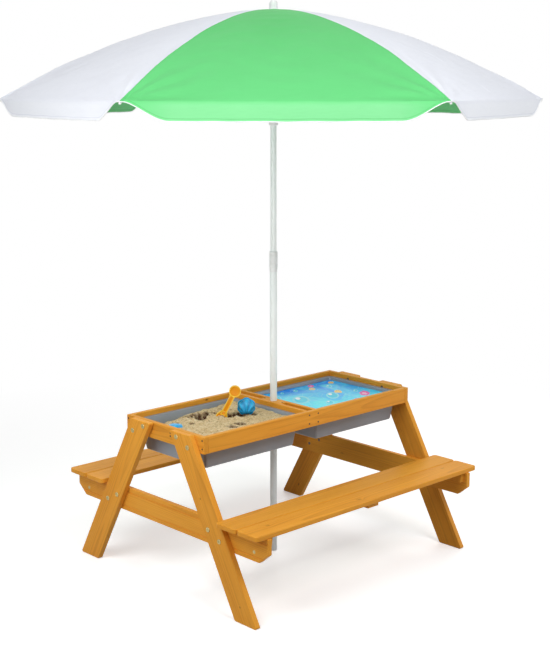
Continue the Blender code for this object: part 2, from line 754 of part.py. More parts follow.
def add_star(finish, tub, sand):
    """A star-shaped mould that lies flat, half buried."""
    x, y = STAR_END_INSET - BIN_HALF_LENGTH, STAR_Y_IN_BIN
    place = Vector((x, y, sand_height(x, y) + STAR_HEIGHT / 2 - STAR_SINK))
    mesh = prism_mesh("star_mould", star_outline(0), STAR_HEIGHT, "Z")
    star = new_object("star_mould", mesh, finish, parent=tub, location=place)
    ease_edges(star)
    height = STAR_HEIGHT + SAND_CORNER_DIP
    pocket_mesh = prism_mesh("star_pocket", star_outline(2 * FIT_GAP), height, "Z")
    raised = place + Vector((0, 0, (height - STAR_HEIGHT) / 2 - FIT_GAP))
    pocket = guide("star_pocket", pocket_mesh, tub, raised)
    combine(sand, pocket, "DIFFERENCE")


# Pole
def tube_profile(outer, inner, low, high):
    return [(inner, low), (outer, low), (outer, high), (inner, high)]


def pole_axis(name, height, parent=None):
    """An empty on the pole's axis."""
    axis = bpy.data.objects.new(name, None)
    axis.location = (0, 0, height)
    axis.parent = parent
    bpy.context.scene.collection.objects.link(axis)
    return axis


def add_lower_pole(paint_white, plastic_white):
    """The plug that stands on the floor, the tube over it and a ring under the collar."""
    bore = LOWER_TUBE_RADIUS - LOWER_TUBE_WALL
    stem = bore - FIT_GAP
    plug = [
        (0, 0),
        (LOWER_TUBE_RADIUS, 0),
        (LOWER_TUBE_RADIUS, FOOT_PLUG_FLANGE),
        (stem, FOOT_PLUG_FLANGE),
        (stem, FOOT_PLUG_FLANGE + FOOT_PLUG_STEM),
        (0, FOOT_PLUG_FLANGE + FOOT_PLUG_STEM),
    ]
    new_object("pole_foot_plug", turned_mesh("pole_foot_plug", plug), plastic_white)
    tube = tube_profile(LOWER_TUBE_RADIUS, bore, FOOT_PLUG_FLANGE + FIT_GAP, LOWER_TUBE_TOP)
    new_object("lower_tube", turned_mesh("lower_tube", tube), paint_white)
    socket = LOWER_TUBE_RADIUS + FIT_GAP
    ring_top = COLLAR_BOTTOM - FIT_GAP
    ring = tube_profile(COLLAR_RING_RADIUS, socket, ring_top - COLLAR_RING_HEIGHT, ring_top)
    new_object("collar_ring", turned_mesh("collar_ring", ring), plastic_white)


def add_collar(plastic_white):
    """A clamp collar: wide round the lower tube, narrow round the upper one."""
    wide = LOWER_TUBE_RADIUS + FIT_GAP
    narrow = UPPER_TUBE_RADIUS + FIT_GAP
    step_height = LOWER_TUBE_TOP + FIT_GAP - COLLAR_BOTTOM
    height = COLLAR_TOP - COLLAR_BOTTOM
    soft = COLLAR_EDGE_ROUND
    profile = [
        (wide, 0),
        (COLLAR_RADIUS - soft, 0),
        (COLLAR_RADIUS, soft),
        (COLLAR_RADIUS, height - soft),
        (COLLAR_RADIUS - soft, height),
        (narrow, height),
        (narrow, step_height),
        (wide, step_height),
    ]
    mesh = turned_mesh("pole_collar", profile)
    new_object("pole_collar", mesh, plastic_white, location=(0, 0, COLLAR_BOTTOM))


def upper_tube_top():
    return CANOPY_TOP + FINIAL_SEAT_GAP + FINIAL_BORE_DEPTH - FIT_GAP


def add_upper_pole(paint_white, plastic_white, head):
    """The upper tube, the hub at its top and the finial that caps it."""
    bore = UPPER_TUBE_RADIUS - UPPER_TUBE_WALL
    low = UPPER_TUBE_BOTTOM - head.location.z
    high = upper_tube_top() - head.location.z
    tube = turned_mesh("upper_tube", tube_profile(UPPER_TUBE_RADIUS, bore, low, high))
    new_object("upper_tube", tube, paint_white, parent=head)

    socket = UPPER_TUBE_RADIUS + FIT_GAP
    dome_start = FINIAL_HEIGHT - FINIAL_RADIUS / 2
    profile = [(0, FINIAL_BORE_DEPTH), (socket, FINIAL_BORE_DEPTH), (socket, 0)]
    profile.append((FINIAL_RADIUS, 0))
    for step in range(CORNER_STEPS + 1):
        angle = math.pi / 2 * step / CORNER_STEPS
        rise = (FINIAL_HEIGHT - dome_start) * math.sin(angle)
        profile.append((FINIAL_RADIUS * math.cos(angle), dome_start + rise))
    profile[-1] = (0, FINIAL_HEIGHT)
    place = (0, 0, CANOPY_TOP + FINIAL_SEAT_GAP - head.location.z)
    new_object("finial", turned_mesh("finial", profile), plastic_white, head, place)


# Folding frame
def canopy_height(radius):
    """The height of the canopy's outside along a rib."""
    return CANOPY_TOP - CANOPY_DROP * (radius / CANOPY_RADIUS) ** CANOPY_CURVE_POWER


def canopy_slope(radius):
    """How steeply it falls there, as an angle."""
    share = radius / CANOPY_RADIUS
    rate = CANOPY_DROP * CANOPY_CURVE_POWER / CANOPY_RADIUS
    return math.atan(rate * share ** (CANOPY_CURVE_POWER - 1))


def under_canopy(radius, offset):
    """The point at an offset under the canopy, measured square to it."""
    slope = canopy_slope(radius)
    return Vector((
        radius - offset * math.sin(slope), 0, canopy_height(radius) - offset * math.cos(slope)
    ))


def hub_pivot():
    """Where a rib turns in the hub."""
    disc_top = canopy_height(HUB_RADIUS) - CANOPY_THICKNESS - HUB_FABRIC_GAP
    height = disc_top - HUB_DISC_THICKNESS - RUNNING_GAP - EYE_RADIUS
    return Vector((HUB_PIVOT_RADIUS, 0, height))


def stretcher_pivot():
    """Where a stretcher turns on its rib."""
    return under_canopy(STRETCHER_JOINT_RADIUS, RIB_NORMAL_OFFSET + LUG_DROP)


def runner_pivot():
    return Vector((RUNNER_PIVOT_RADIUS, 0, RUNNER_PIVOT_HEIGHT))


def slots_mesh(name, root, reach, width, height):
    """Blocks round Z that cut one slot for each rib."""
    shape = bmesh.new()
    size = Matrix.Diagonal((reach - root, width, height, 1))
    out = Matrix.Translation(((root + reach) / 2, 0, 0))
    for index in range(RIB_COUNT):
        turn = Matrix.Rotation(2 * math.pi * index / RIB_COUNT, 4, "Z")
        bmesh.ops.create_cube(shape, matrix=turn @ out @ size)
    return mesh_from(shape, name)


def add_hub(plastic, head):
    """The crown at the top of the pole, slotted for the ribs and closed by a disc."""
    bore = UPPER_TUBE_RADIUS + FIT_GAP
    disc_low = EYE_RADIUS + RUNNING_GAP
    top = disc_low + HUB_DISC_THICKNESS
    mesh = turned_mesh("hub", tube_profile(HUB_RADIUS, bore, -HUB_SKIRT, top))
    place = (0, 0, hub_pivot().z - head.location.z)
    hub = new_object("hub", mesh, plastic, head, place, (0, 0, RIB_TURN))
    root = HUB_PIVOT_RADIUS - EYE_RADIUS - RUNNING_GAP
    width = 2 * (RIB_RADIUS + RUNNING_GAP)
    height = disc_low + HUB_SKIRT + CUT_OVERRUN
    slots = slots_mesh("hub_slots", root, HUB_RADIUS + CUT_OVERRUN, width, height)
    cutter = guide("hub_slots", slots, hub, (0, 0, disc_low - height / 2))
    combine(hub, cutter, "DIFFERENCE")


def add_runner(plastic, head):
    """The sleeve that slides on the pole, with a crown slotted for the stretchers."""
    bore = UPPER_TUBE_RADIUS + RUNNING_GAP
    half = RUNNER_CROWN_HEIGHT / 2
    foot = -half - RUNNER_SLEEVE_LENGTH
    profile = [
        (bore, foot),
        (RUNNER_SLEEVE_RADIUS, foot),
        (RUNNER_SLEEVE_RADIUS, -half),
        (RUNNER_CROWN_RADIUS, -half),
        (RUNNER_CROWN_RADIUS, half),
        (bore, half),
    ]
    place = (0, 0, RUNNER_PIVOT_HEIGHT - head.location.z)
    mesh = turned_mesh("runner", profile)
    runner = new_object("runner", mesh, plastic, head, place, (0, 0, RIB_TURN))
    root = RUNNER_PIVOT_RADIUS - EYE_RADIUS - RUNNING_GAP
    width = 2 * (STRETCHER_RADIUS + RUNNING_GAP)
    height = RUNNER_CROWN_HEIGHT + 2 * CUT_OVERRUN
    slots = slots_mesh("runner_slots", root, RUNNER_CROWN_RADIUS + CUT_OVERRUN, width, height)
    combine(runner, guide("runner_slots", slots, runner), "DIFFERENCE")


def rib_mesh(metal):
    """A curved rod from its eye in the hub to its tip, with a lug for the stretcher."""
    pivot = hub_pivot()
    path = [
        (-EYE_LENGTH, 0, EYE_RADIUS / 2, RIB_RADIUS),
        (0, 0, EYE_RADIUS, RIB_RADIUS),
        (EYE_LENGTH, 0, RIB_RADIUS, RIB_RADIUS),
    ]
    last = CANOPY_RADIUS - RIB_END_INSET
    for step in range(RIB_STEPS + 1):
        radius = RIB_LEVEL_END + (last - RIB_LEVEL_END) * step / RIB_STEPS
        point = under_canopy(radius, RIB_NORMAL_OFFSET) - pivot
        path.append((point.x, point.z, RIB_RADIUS, RIB_RADIUS))
    rod = new_object("rib_rod", loft_mesh("rib_rod", rod_rings(path)), metal)

    joint = stretcher_pivot() - pivot
    slope = canopy_slope(STRETCHER_JOINT_RADIUS)
    lug_outline = arc((0, 0), LUG_RADIUS, -math.pi, 0, ROD_STEPS)
    lug_outline += [(LUG_RADIUS, LUG_DROP), (-LUG_RADIUS, LUG_DROP)]
    lug_mesh = prism_mesh("rib_lug", lug_outline, LUG_THICKNESS, "Y")
    lug = guide("rib_lug", lug_mesh, None, joint, (0, slope, 0))
    combine(rod, lug, "UNION")
    hole = disc_profile(LUG_HOLE_RADIUS, LUG_THICKNESS + 2 * CUT_OVERRUN)
    hole_mesh = turned_mesh("lug_hole", hole, ROD_STEPS)
    cutter = guide("lug_hole", hole_mesh, None, joint, (math.pi / 2, 0, 0))
    combine(rod, cutter, "DIFFERENCE")
    mesh = settled_mesh(rod, "rib")
    for helper in (rod, lug, cutter):
        bpy.data.objects.remove(helper, do_unlink=True)
    return mesh


def stretcher_mesh(metal):
    """A rod with a forked end and its pin on the rib, and an eye at the runner."""
    along = runner_pivot() - stretcher_pivot()
    length = along.length
    path = [
        (FORK_SLOT_LENGTH, 0, LUG_RADIUS, FORK_CHEEK),
        (FORK_LENGTH, 0, STRETCHER_RADIUS, STRETCHER_RADIUS),
        (length - EYE_LENGTH, 0, STRETCHER_RADIUS, STRETCHER_RADIUS),
        (length, 0, EYE_RADIUS, STRETCHER_RADIUS),
        (length + EYE_LENGTH, 0, EYE_RADIUS / 2, STRETCHER_RADIUS),
    ]
    rod = new_object("stretcher_rod", loft_mesh("stretcher_rod", rod_rings(path)), metal)
    slot = LUG_THICKNESS + 2 * RUNNING_GAP
    width = slot + 2 * FORK_CHEEK
    block_outline = [
        (-LUG_RADIUS, -LUG_RADIUS),
        (FORK_LENGTH, -LUG_RADIUS),
        (FORK_LENGTH, LUG_RADIUS),
        (-LUG_RADIUS, LUG_RADIUS),
    ]
    block = guide("fork_block", prism_mesh("fork_block", block_outline, width, "Y"))
    combine(rod, block, "UNION")
    slot_length = FORK_SLOT_LENGTH + LUG_RADIUS + CUT_OVERRUN
    slot_height = 2 * (LUG_RADIUS + CUT_OVERRUN)
    slot_mesh = box_mesh("fork_slot", slot_length, slot, slot_height)
    cutter = guide("fork_slot", slot_mesh)
    cutter.location = (FORK_SLOT_LENGTH - slot_length / 2, 0, 0)
    combine(rod, cutter, "DIFFERENCE")
    pin_mesh = turned_mesh("fork_pin", disc_profile(FORK_PIN_RADIUS, width - FORK_CHEEK), ROD_STEPS)
    pin = guide("fork_pin", pin_mesh, turn=(math.pi / 2, 0, 0))
    combine(rod, pin, "UNION")
    mesh = settled_mesh(rod, "stretcher")
    for helper in (rod, block, cutter, pin):
        bpy.data.objects.remove(helper, do_unlink=True)
    return mesh


def add_ribs_and_canopy(metal, fabric, head):
    """Six ribs, each with its stretcher and the part of the canopy that is nearest to it."""
    pivot = hub_pivot()
    joint = stretcher_pivot()
    along = runner_pivot() - joint
    stretcher_turn = math.atan2(-along.z, along.x)
    rib_shape = rib_mesh(metal)
    stretcher_shape = stretcher_mesh(metal)
    # Panels are green and white in turn, so neighbouring gores have their colours swapped.
    gore_shapes = (gore_mesh(fabric[::-1]), gore_mesh(fabric))
    for index in range(RIB_COUNT):
        angle = RIB_TURN + 2 * math.pi * index / RIB_COUNT
        number = index + 1
        place = Matrix.Rotation(angle, 3, "Z") @ pivot - Vector((0, 0, head.location.z))
        rib = new_object(f"rib_{number}", rib_shape, metal, head, place, (0, 0, angle))
        new_object(
            f"stretcher_{number}", stretcher_shape, metal, rib, joint - pivot,
            (0, stretcher_turn, 0),
        )
        gore_shape = gore_shapes[index % len(gore_shapes)]
        new_object(f"canopy_gore_{number}", gore_shape, fabric[0], rib)


def gore_point(radius, along_chord):
    """A point of the canopy, at a distance from a rib along the chord to the next rib."""
    chord = Vector((-math.sin(math.pi / RIB_COUNT), math.cos(math.pi / RIB_COUNT), 0))
    point = Vector((radius, 0, canopy_height(radius))) + chord * along_chord
    span = 2 * radius * math.sin(math.pi / RIB_COUNT)
    middle = math.sin(math.pi * along_chord / span)
    ends = math.sin(math.pi * min(radius / CANOPY_RADIUS, 1.0))
    return point + Vector((0, 0, CANOPY_BILLOW * middle * ends))


def valance_depth(along_chord):
    """How deep the valance hangs at a distance from the rib's tip."""
    share = min(along_chord / VALANCE_CORNER_LENGTH, 1.0)
    return VALANCE_DEPTH * math.sin(math.pi / 2 * share) ** VALANCE_CURVE_POWER


def gore_side(shape, pivot, slot):
    """Half of a gore: the panel from the rib to the middle of the bay, and its valance."""
    inner = UPPER_TUBE_RADIUS + CANOPY_HOLE_CLEARANCE
    rows = []
    for step in range(GORE_RADIAL_STEPS + 1):
        share = step / GORE_RADIAL_STEPS
        radius = inner + (CANOPY_RADIUS - inner) * share
        reach = radius * math.sin(math.pi / RIB_COUNT) - FIT_GAP
        row = []
        for side in range(GORE_SIDE_STEPS + 1):
            row.append(gore_point(radius, reach * side / GORE_SIDE_STEPS) - pivot)
        rows.append(row)
    rim = rows[-1]
    reach = CANOPY_RADIUS * math.sin(math.pi / RIB_COUNT) - FIT_GAP
    for share in (0.5, 1.0):
        row = []
        for side, point in enumerate(rim):
            depth = valance_depth(reach * side / GORE_SIDE_STEPS) * share
            row.append(point - Vector((0, 0, depth)))
        rows.append(row)
    corners = [[shape.verts.new(point) for point in row] for row in rows]
    for lower, upper in zip(corners, corners[1:]):
        for side in range(GORE_SIDE_STEPS):
            near = lower[side].co == upper[side].co
            quad = [lower[side], lower[side + 1], upper[side + 1]]
            if not near:
                quad.append(upper[side])
            shape.faces.new(quad).material_index = slot


def gore_mesh(fabric):
    """The part of the canopy over one rib, half of it in each colour."""
    pivot = hub_pivot()
    shape = bmesh.new()
    gore_side(shape, pivot, 0)
    first = shape.verts[:]
    gore_side(shape, pivot, 1)
    for corner in [v for v in shape.verts if v not in first]:
        corner.co.y = -corner.co.y
    bmesh.ops.remove_doubles(shape, verts=shape.verts, dist=WELD_DISTANCE)
    bmesh.ops.recalc_face_normals(shape, faces=shape.faces)
    if sum(face.normal.z for face in shape.faces) < 0:
        bmesh.ops.reverse_faces(shape, faces=shape.faces)
    mesh = bpy.data.meshes.new("gore_sheet")
    shape.to_mesh(mesh)
    shape.free()
    sheet = new_object("gore_sheet", mesh, fabric[0])
    mesh.materials.append(fabric[1])
    cloth = sheet.modifiers.new("cloth", "SOLIDIFY")
    cloth.thickness = CANOPY_THICKNESS
    cloth.offset = -1.0
    cloth.use_even_offset = True
    settled = settled_mesh(sheet, "canopy_gore")
    bpy.data.objects.remove(sheet, do_unlink=True)
    return settled


def build():
    clear_scene()
    wood = paint("honey_wood", (0.65, 0.26, 0.04), 0.55)
    grey = paint("grey_plastic", (0.16, 0.16, 0.17), 0.45)
    sand_paint = paint("sand", (0.55, 0.43, 0.26), 0.95)
    water_paint = paint("water", (0.10, 0.45, 0.85), 0.10)
    yellow = paint("yellow_plastic", (0.85, 0.50, 0.02), 0.35)
    blue = paint("blue_plastic", (0.02, 0.30, 0.60), 0.35)
    tube_white = paint("white_tube", (0.80, 0.82, 0.82), 0.35)
    plastic_white = paint("white_plastic", (0.82, 0.82, 0.82), 0.45)
    steel = paint("coated_steel", (0.60, 0.62, 0.62), 0.40, 0.6)
    fabric = (
        paint("green_fabric", (0.14, 0.74, 0.22), 0.85),
        paint("white_fabric", (0.80, 0.83, 0.92), 0.85),
    )

    add_frame(wood)
    add_pole_blocks(wood)
    add_legs(wood)
    add_beams(wood)
    add_seats(wood)
    add_ledgers(wood)

    sand_bin = add_bin("sand_bin", -1, grey)
    water_bin = add_bin("water_bin", 1, grey)
    sand = add_sand(sand_paint, sand_bin)
    add_water(water_paint, water_bin)
    add_spade(yellow, sand_bin, sand)
    add_mould(blue, sand_bin, sand)
    add_star(blue, sand_bin, sand)

    add_lower_pole(tube_white, plastic_white)
    add_collar(plastic_white)
    head = pole_axis("parasol_head", CANOPY_TOP)
    add_upper_pole(tube_white, plastic_white, head)
    add_hub(plastic_white, head)
    add_runner(plastic_white, head)
    add_ribs_and_canopy(steel, fabric, head)


build()
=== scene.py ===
"""Looks of a child's picnic table with two lift-out play bins and a folding parasol.

Metres, +Z up. The origin is on the floor under the pole, +X runs along the table and -Y is
the side of the front seat.
"""

import json
import math
import random

import bmesh
import bpy
from mathutils import Euler, Matrix, Vector, noise


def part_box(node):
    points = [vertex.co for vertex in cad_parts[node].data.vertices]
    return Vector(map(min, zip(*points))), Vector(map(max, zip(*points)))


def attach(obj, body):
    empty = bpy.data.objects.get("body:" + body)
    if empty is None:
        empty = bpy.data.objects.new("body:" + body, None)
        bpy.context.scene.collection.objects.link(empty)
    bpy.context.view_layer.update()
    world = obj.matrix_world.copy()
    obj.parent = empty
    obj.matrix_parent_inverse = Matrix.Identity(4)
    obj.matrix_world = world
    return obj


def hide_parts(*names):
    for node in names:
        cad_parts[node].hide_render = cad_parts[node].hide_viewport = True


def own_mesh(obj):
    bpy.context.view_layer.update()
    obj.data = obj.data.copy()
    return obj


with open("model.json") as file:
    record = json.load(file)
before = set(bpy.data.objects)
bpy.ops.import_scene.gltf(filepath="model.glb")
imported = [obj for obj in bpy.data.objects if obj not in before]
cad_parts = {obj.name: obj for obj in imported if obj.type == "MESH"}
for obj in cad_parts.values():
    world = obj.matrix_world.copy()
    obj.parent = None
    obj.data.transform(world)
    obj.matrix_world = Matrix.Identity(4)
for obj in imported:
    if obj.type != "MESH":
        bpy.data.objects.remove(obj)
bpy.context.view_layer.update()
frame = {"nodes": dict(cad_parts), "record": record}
cad_nodes = frame["nodes"]


# Wood boards: frame, legs, seat beams, seat planks, cleats, ledgers and pole blocks.
# Planed softwood with a honey-coloured oil finish. Each board is sawn from its own place in a
# log, so its rings, its tint and its knots are its own.
class Wire:
    """One output of a node. Operators on it add Math nodes."""

    def __init__(self, nodes, socket):
        self.nodes = nodes
        self.socket = socket

    def math(self, operation, first, second=0.0, held=False):
        settings = {"operation": operation, "use_clamp": held}
        return self.nodes.node("ShaderNodeMath", settings, {0: first, 1: second})

    def __add__(self, other):
        return self.math("ADD", self, other)

    def __sub__(self, other):
        return self.math("SUBTRACT", self, other)

    def __rsub__(self, other):
        return self.math("SUBTRACT", other, self)

    def __mul__(self, other):
        return self.math("MULTIPLY", self, other)

    def __truediv__(self, other):
        return self.math("DIVIDE", self, other)

    def __rtruediv__(self, other):
        return self.math("DIVIDE", other, self)

    def __pow__(self, power):
        return self.math("POWER", self, power)

    __radd__ = __add__
    __rmul__ = __mul__

    def held(self):
        """The same, kept between 0 and 1."""
        return self.math("ADD", self, 0.0, True)

    def fraction(self):
        return self.math("FRACT", self)

    def sine(self):
        return self.math("SINE", self)

    def size(self):
        return self.math("ABSOLUTE", self)

    def most(self, other):
        return self.math("MAXIMUM", self, other)


class Nodes:
    """The nodes of a finish or of the world. Its node() adds any node that they need."""

    def __init__(self, tree):
        self.tree = tree

    def feed(self, node, inputs):
        for key, value in inputs.items():
            socket = node.inputs[key]
            if isinstance(value, Wire):
                self.tree.links.new(value.socket, socket)
            elif socket.type == "RGBA":
                socket.default_value = (*value, 1.0)
            else:
                socket.default_value = value

    def node(self, kind, settings=None, inputs=None, output=0):
        """Adds a node: its settings first, then the values or wires of its sockets."""
        made = self.tree.nodes.new(kind)
        for key, value in (settings or {}).items():
            if key == "stops":
                elements = made.color_ramp.elements
                elements.remove(elements[1])
                elements[0].position = value[0][0]
                elements[0].color = (value[0][1],) * 3 + (1.0,)
                for place, level in value[1:]:
                    elements.new(place).color = (level,) * 3 + (1.0,)
            else:
                setattr(made, key, value)
        self.feed(made, inputs or {})
        return Wire(self, made.outputs[output])

    def place(self):
        """Object coordinates."""
        return self.node("ShaderNodeTexCoord", output="Object")

    def stretched(self, vector, scale):
        return self.node("ShaderNodeMapping", None, {"Vector": vector, "Scale": scale})

    def parts(self, vector):
        """The three numbers of a vector."""
        first = self.node("ShaderNodeSeparateXYZ", None, {0: vector})
        outputs = first.socket.node.outputs
        return [Wire(self, outputs[index]) for index in range(3)]

    def noise(self, vector, scale, detail=2.0, roughness=0.5):
        inputs = {"Vector": vector, "Scale": scale, "Detail": detail, "Roughness": roughness}
        return self.node("ShaderNodeTexNoise", None, inputs)

    def ramp(self, value, stops):
        return self.node("ShaderNodeValToRGB", {"stops": stops}, {0: value})

    def mix(self, share, first, second):
        inputs = {0: share, 6: first, 7: second}
        return self.node("ShaderNodeMix", {"data_type": "RGBA"}, inputs, 2)

    def attribute(self, name):
        return self.node("ShaderNodeAttribute", {"attribute_name": name}, None, "Fac")


class Finish(Nodes):
    """A surface finish: one material and its main shader."""

    def __init__(self, name, constants):
        self.material = bpy.data.materials.new(name)
        self.material.use_nodes = True
        super().__init__(self.material.node_tree)
        self.shader = self.tree.nodes["Principled BSDF"]
        self.surface(constants)

    def surface(self, inputs):
        self.feed(self.shader, inputs)

    def clouded(self, cloud, first, second, span, least):
        """Two tones that drift into each other, and a roughness that follows them."""
        tone = self.mix(cloud, first, second)
        self.surface({"Base Color": tone, "Roughness": cloud * span + least})

    def bump(self, height, distance, strength):
        inputs = {"Height": height, "Distance": distance, "Strength": strength}
        self.surface({"Normal": self.node("ShaderNodeBump", None, inputs)})

    def grain(self, scale, distance=0.0001, strength=0.3):
        """A fine even roughness, as the steel of a mould or a coat of powder leaves it."""
        self.bump(self.noise(self.place(), scale), distance, strength)


def srgb(red, green, blue):
    """A colour as a screen shows it, 0 to 255, in the shader's linear values."""
    parts = [value / 255 for value in (red, green, blue)]
    return tuple(p / 12.92 if p <= 0.04045 else ((p + 0.055) / 1.055) ** 2.4 for p in parts)


def dyed(colour, strength):
    return tuple(min(part * strength, 1.0) for part in colour)


def wood_finish(name, centre, along, across, seed, knots):
    """Oiled softwood for one board. A knot is its place along and across, size, darkness."""
    ring_gap = 0.0034
    chance = random.Random(seed)
    finish = Finish(f"honey_oiled_{name}", {"Specular IOR Level": 0.12})
    turn = Matrix((along, across, along.cross(across))).transposed().to_euler()
    board = finish.node(
        "ShaderNodeMapping", {"vector_type": "TEXTURE"},
        {"Vector": finish.place(), "Location": centre, "Rotation": turn},
    )
    x, y, z = finish.parts(board)
    shade = chance.uniform(0.94, 1.06)
    pith_across = chance.uniform(-0.035, 0.035)
    pith_through = chance.choice((-1, 1)) * chance.uniform(0.045, 0.095)
    drift = chance.uniform(0.003, 0.010) * chance.choice((-1, 1))
    shift = chance.uniform(0, 9)

    # Growth rings: distance from the pith, bent by slow waves and pushed aside by knots.
    moved = finish.node("ShaderNodeVectorMath", None, {0: board, 1: (shift, shift, shift)})
    sway = finish.noise(finish.stretched(moved, (1.3, 9, 9)), 1.0, 2.0) - 0.5
    reach = ((y - pith_across) ** 2 + (z - pith_through) ** 2) ** 0.5 + x * drift + sway * 0.013
    core = None
    for knot_x, knot_y, knot_size, darkness in knots:
        apart = (((x - knot_x) * 0.6) ** 2 + (y - knot_y) ** 2) ** 0.5 / knot_size
        reach = reach + knot_size * 1.3 / (1 + apart ** 2)
        spot = (1.25 - apart).held() * darkness
        core = spot if core is None else (core + spot).held()
    ring = (reach / ring_gap).fraction()
    late = finish.ramp(ring, [(0.0, 0.05), (0.45, 0.12), (0.82, 0.85), (0.92, 1.0), (0.98, 0.1)])
    patch = finish.noise(finish.stretched(moved, (2.2, 16, 16)), 1.0, 2.0)
    fibre = finish.noise(finish.stretched(moved, (9, 330, 330)), 1.0, 4.0, 0.7)
    streak = finish.noise(finish.stretched(moved, (2.5, 60, 60)), 1.0, 3.0, 0.6)

    pale = dyed(srgb(240, 168, 60), shade)
    dark = dyed(srgb(176, 102, 24), shade)
    deep = dyed(srgb(222, 144, 42), shade)
    light_fibre, knot_brown = srgb(250, 190, 84), srgb(104, 54, 14)
    colour = finish.mix(((patch - 0.32) * 2.2).held() * 0.55, pale, deep)
    colour = finish.mix(((streak - 0.46) * 3.0).held() * 0.45, colour, deep)
    colour = finish.mix(late * (patch * 0.42 + 0.08), colour, dark)
    colour = finish.mix(((fibre - 0.52) * 4.0).held() * 0.34, colour, dark)
    colour = finish.mix(((0.44 - fibre) * 4.0).held() * 0.25, colour, light_fibre)
    if core is not None:
        colour = finish.mix(core, colour, knot_brown)
    finish.surface({"Base Color": colour, "Roughness": fibre * 0.22 + 0.34})
    finish.bump(late * 0.35 + fibre, 0.00035, 0.55)
    return finish


x_axis, y_axis, z_axis = Vector((1, 0, 0)), Vector((0, 1, 0)), Vector((0, 0, 1))
leg_lean, table_top = 0.275, 0.489
leg_rise = Vector((0, leg_lean, table_top)).normalized()
leg_fall = Vector((0, -leg_lean, table_top)).normalized()
board_lines = {
    "rail": (x_axis, z_axis), "end_board": (y_axis, z_axis), "cross_rail": (y_axis, z_axis),
    "pole_block": (y_axis, z_axis), "seat_beam": (y_axis, z_axis),
    "seat_plank": (x_axis, y_axis), "seat_cleat": (y_axis, x_axis), "ledger": (x_axis, z_axis),
}
knots_of = {
    "rail_back": [(-0.135, 0.020, 0.0035, 0.8)],
    "seat_plank_front_outer": [
        (-0.38, 0.010, 0.0045, 0.35), (-0.04, -0.012, 0.0055, 0.35), (0.372, 0.016, 0.005, 0.3),
    ],
    "seat_plank_back_inner": [(0.21, 0.012, 0.004, 0.4)],
    "leg_left_front": [(0.087, -0.006, 0.0022, 0.7), (-0.229, 0.004, 0.0022, 0.7)],
    "leg_right_back": [(-0.225, 0.012, 0.0040, 0.5)],
    "seat_beam_right": [(0.10, -0.012, 0.0045, 0.3)],
}
for number, name in enumerate(frame["record"]["behaviour"]["bodies"]["table"]):
    low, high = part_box(name)
    if name.startswith("leg"):
        rise = leg_rise if name.endswith("front") else leg_fall
        lines = (rise, x_axis.cross(rise))
    else:
        lines = next(pair for start, pair in board_lines.items() if name.startswith(start))
    finish = wood_finish(name, (low + high) / 2, *lines, number + 11, knots_of.get(name, []))
    for slot in cad_nodes[name].material_slots:
        slot.material = finish.material


# Bolts and nuts: flat round heads with a hex recess outside, flush slotted nuts inside.
# Zinc-plated steel. They clamp each leg to the frame's end board and to the seat beam, two and
# two, and one more holds the outer end of each beam.
def clear():
    """Back to object mode, with nothing selected."""
    if bpy.context.object and bpy.context.object.mode == "EDIT":
        bpy.ops.object.mode_set(mode="OBJECT")
    bpy.ops.object.select_all(action="DESELECT")


def only(piece):
    """Back to object mode, with one piece selected and active."""
    clear()
    piece.select_set(True)
    bpy.context.view_layer.objects.active = piece


def begin(piece, kind="FACE", action="DESELECT"):
    """Opens a piece in edit mode with nothing selected, or all of it."""
    only(piece)
    bpy.ops.object.mode_set(mode="EDIT")
    bpy.ops.mesh.select_mode(type=kind)
    bpy.ops.mesh.select_all(action=action)


def pick(piece, test, kind="FACE"):
    """Selects the faces, edges or corners for which test(middle, item) holds."""
    bpy.ops.mesh.select_mode(type=kind)
    bpy.ops.mesh.select_all(action="DESELECT")
    shape = bmesh.from_edit_mesh(piece.data)
    parts = {"FACE": shape.faces, "EDGE": shape.edges, "VERT": shape.verts}[kind]
    for item in parts:
        if kind == "VERT":
            middle = item.co
        else:
            middle = sum((v.co for v in item.verts), Vector()) / len(item.verts)
        item.select_set(bool(test(middle, item)))
    shape.select_flush_mode()
    bmesh.update_edit_mesh(piece.data)


def settle(piece, angle=35.0):
    """Applies modifiers and place, and smooths all but the sharper edges."""
    only(piece)
    for modifier in list(piece.modifiers):
        bpy.ops.object.modifier_apply(modifier=modifier.name)
    bpy.ops.object.transform_apply(location=True, rotation=True, scale=True)
    bpy.ops.object.shade_smooth_by_angle(angle=math.radians(angle))
    return piece


def cylinder(corners, radius, height, middle, turn=0.0):
    """A cylinder centred on the Z axis, upright or turned about X."""
    clear()
    bpy.ops.mesh.primitive_cylinder_add(
        vertices=corners, radius=radius, depth=height, location=(0, 0, middle),
        rotation=(turn, 0, 0),
    )
    return settle(bpy.context.object)


def block(size, middle):
    """A box centred on the Z axis."""
    clear()
    bpy.ops.mesh.primitive_cube_add(size=1, location=(0, 0, middle), scale=size)
    return settle(bpy.context.object)


def extrude(*step):
    bpy.ops.mesh.extrude_region_move(TRANSFORM_OT_translate={"value": step})


def widen(*ratios, centre=(0, 0, 0)):
    """Stretches or shrinks what is selected."""
    bpy.ops.transform.resize(value=ratios, center_override=centre)


def linked(name, data):
    """A new object for a mesh, a lamp or the camera."""
    made = bpy.data.objects.new(name, data)
    bpy.context.scene.collection.objects.link(made)
    return made


def combine(piece, other, operation):
    """Cuts another shape from a piece or joins it on, and removes that shape."""
    only(piece)
    step = piece.modifiers.new("combine", "BOOLEAN")
    step.operation = operation
    step.object = other
    step.solver = "EXACT"
    bpy.ops.object.modifier_apply(modifier="combine")
    bpy.data.objects.remove(other)


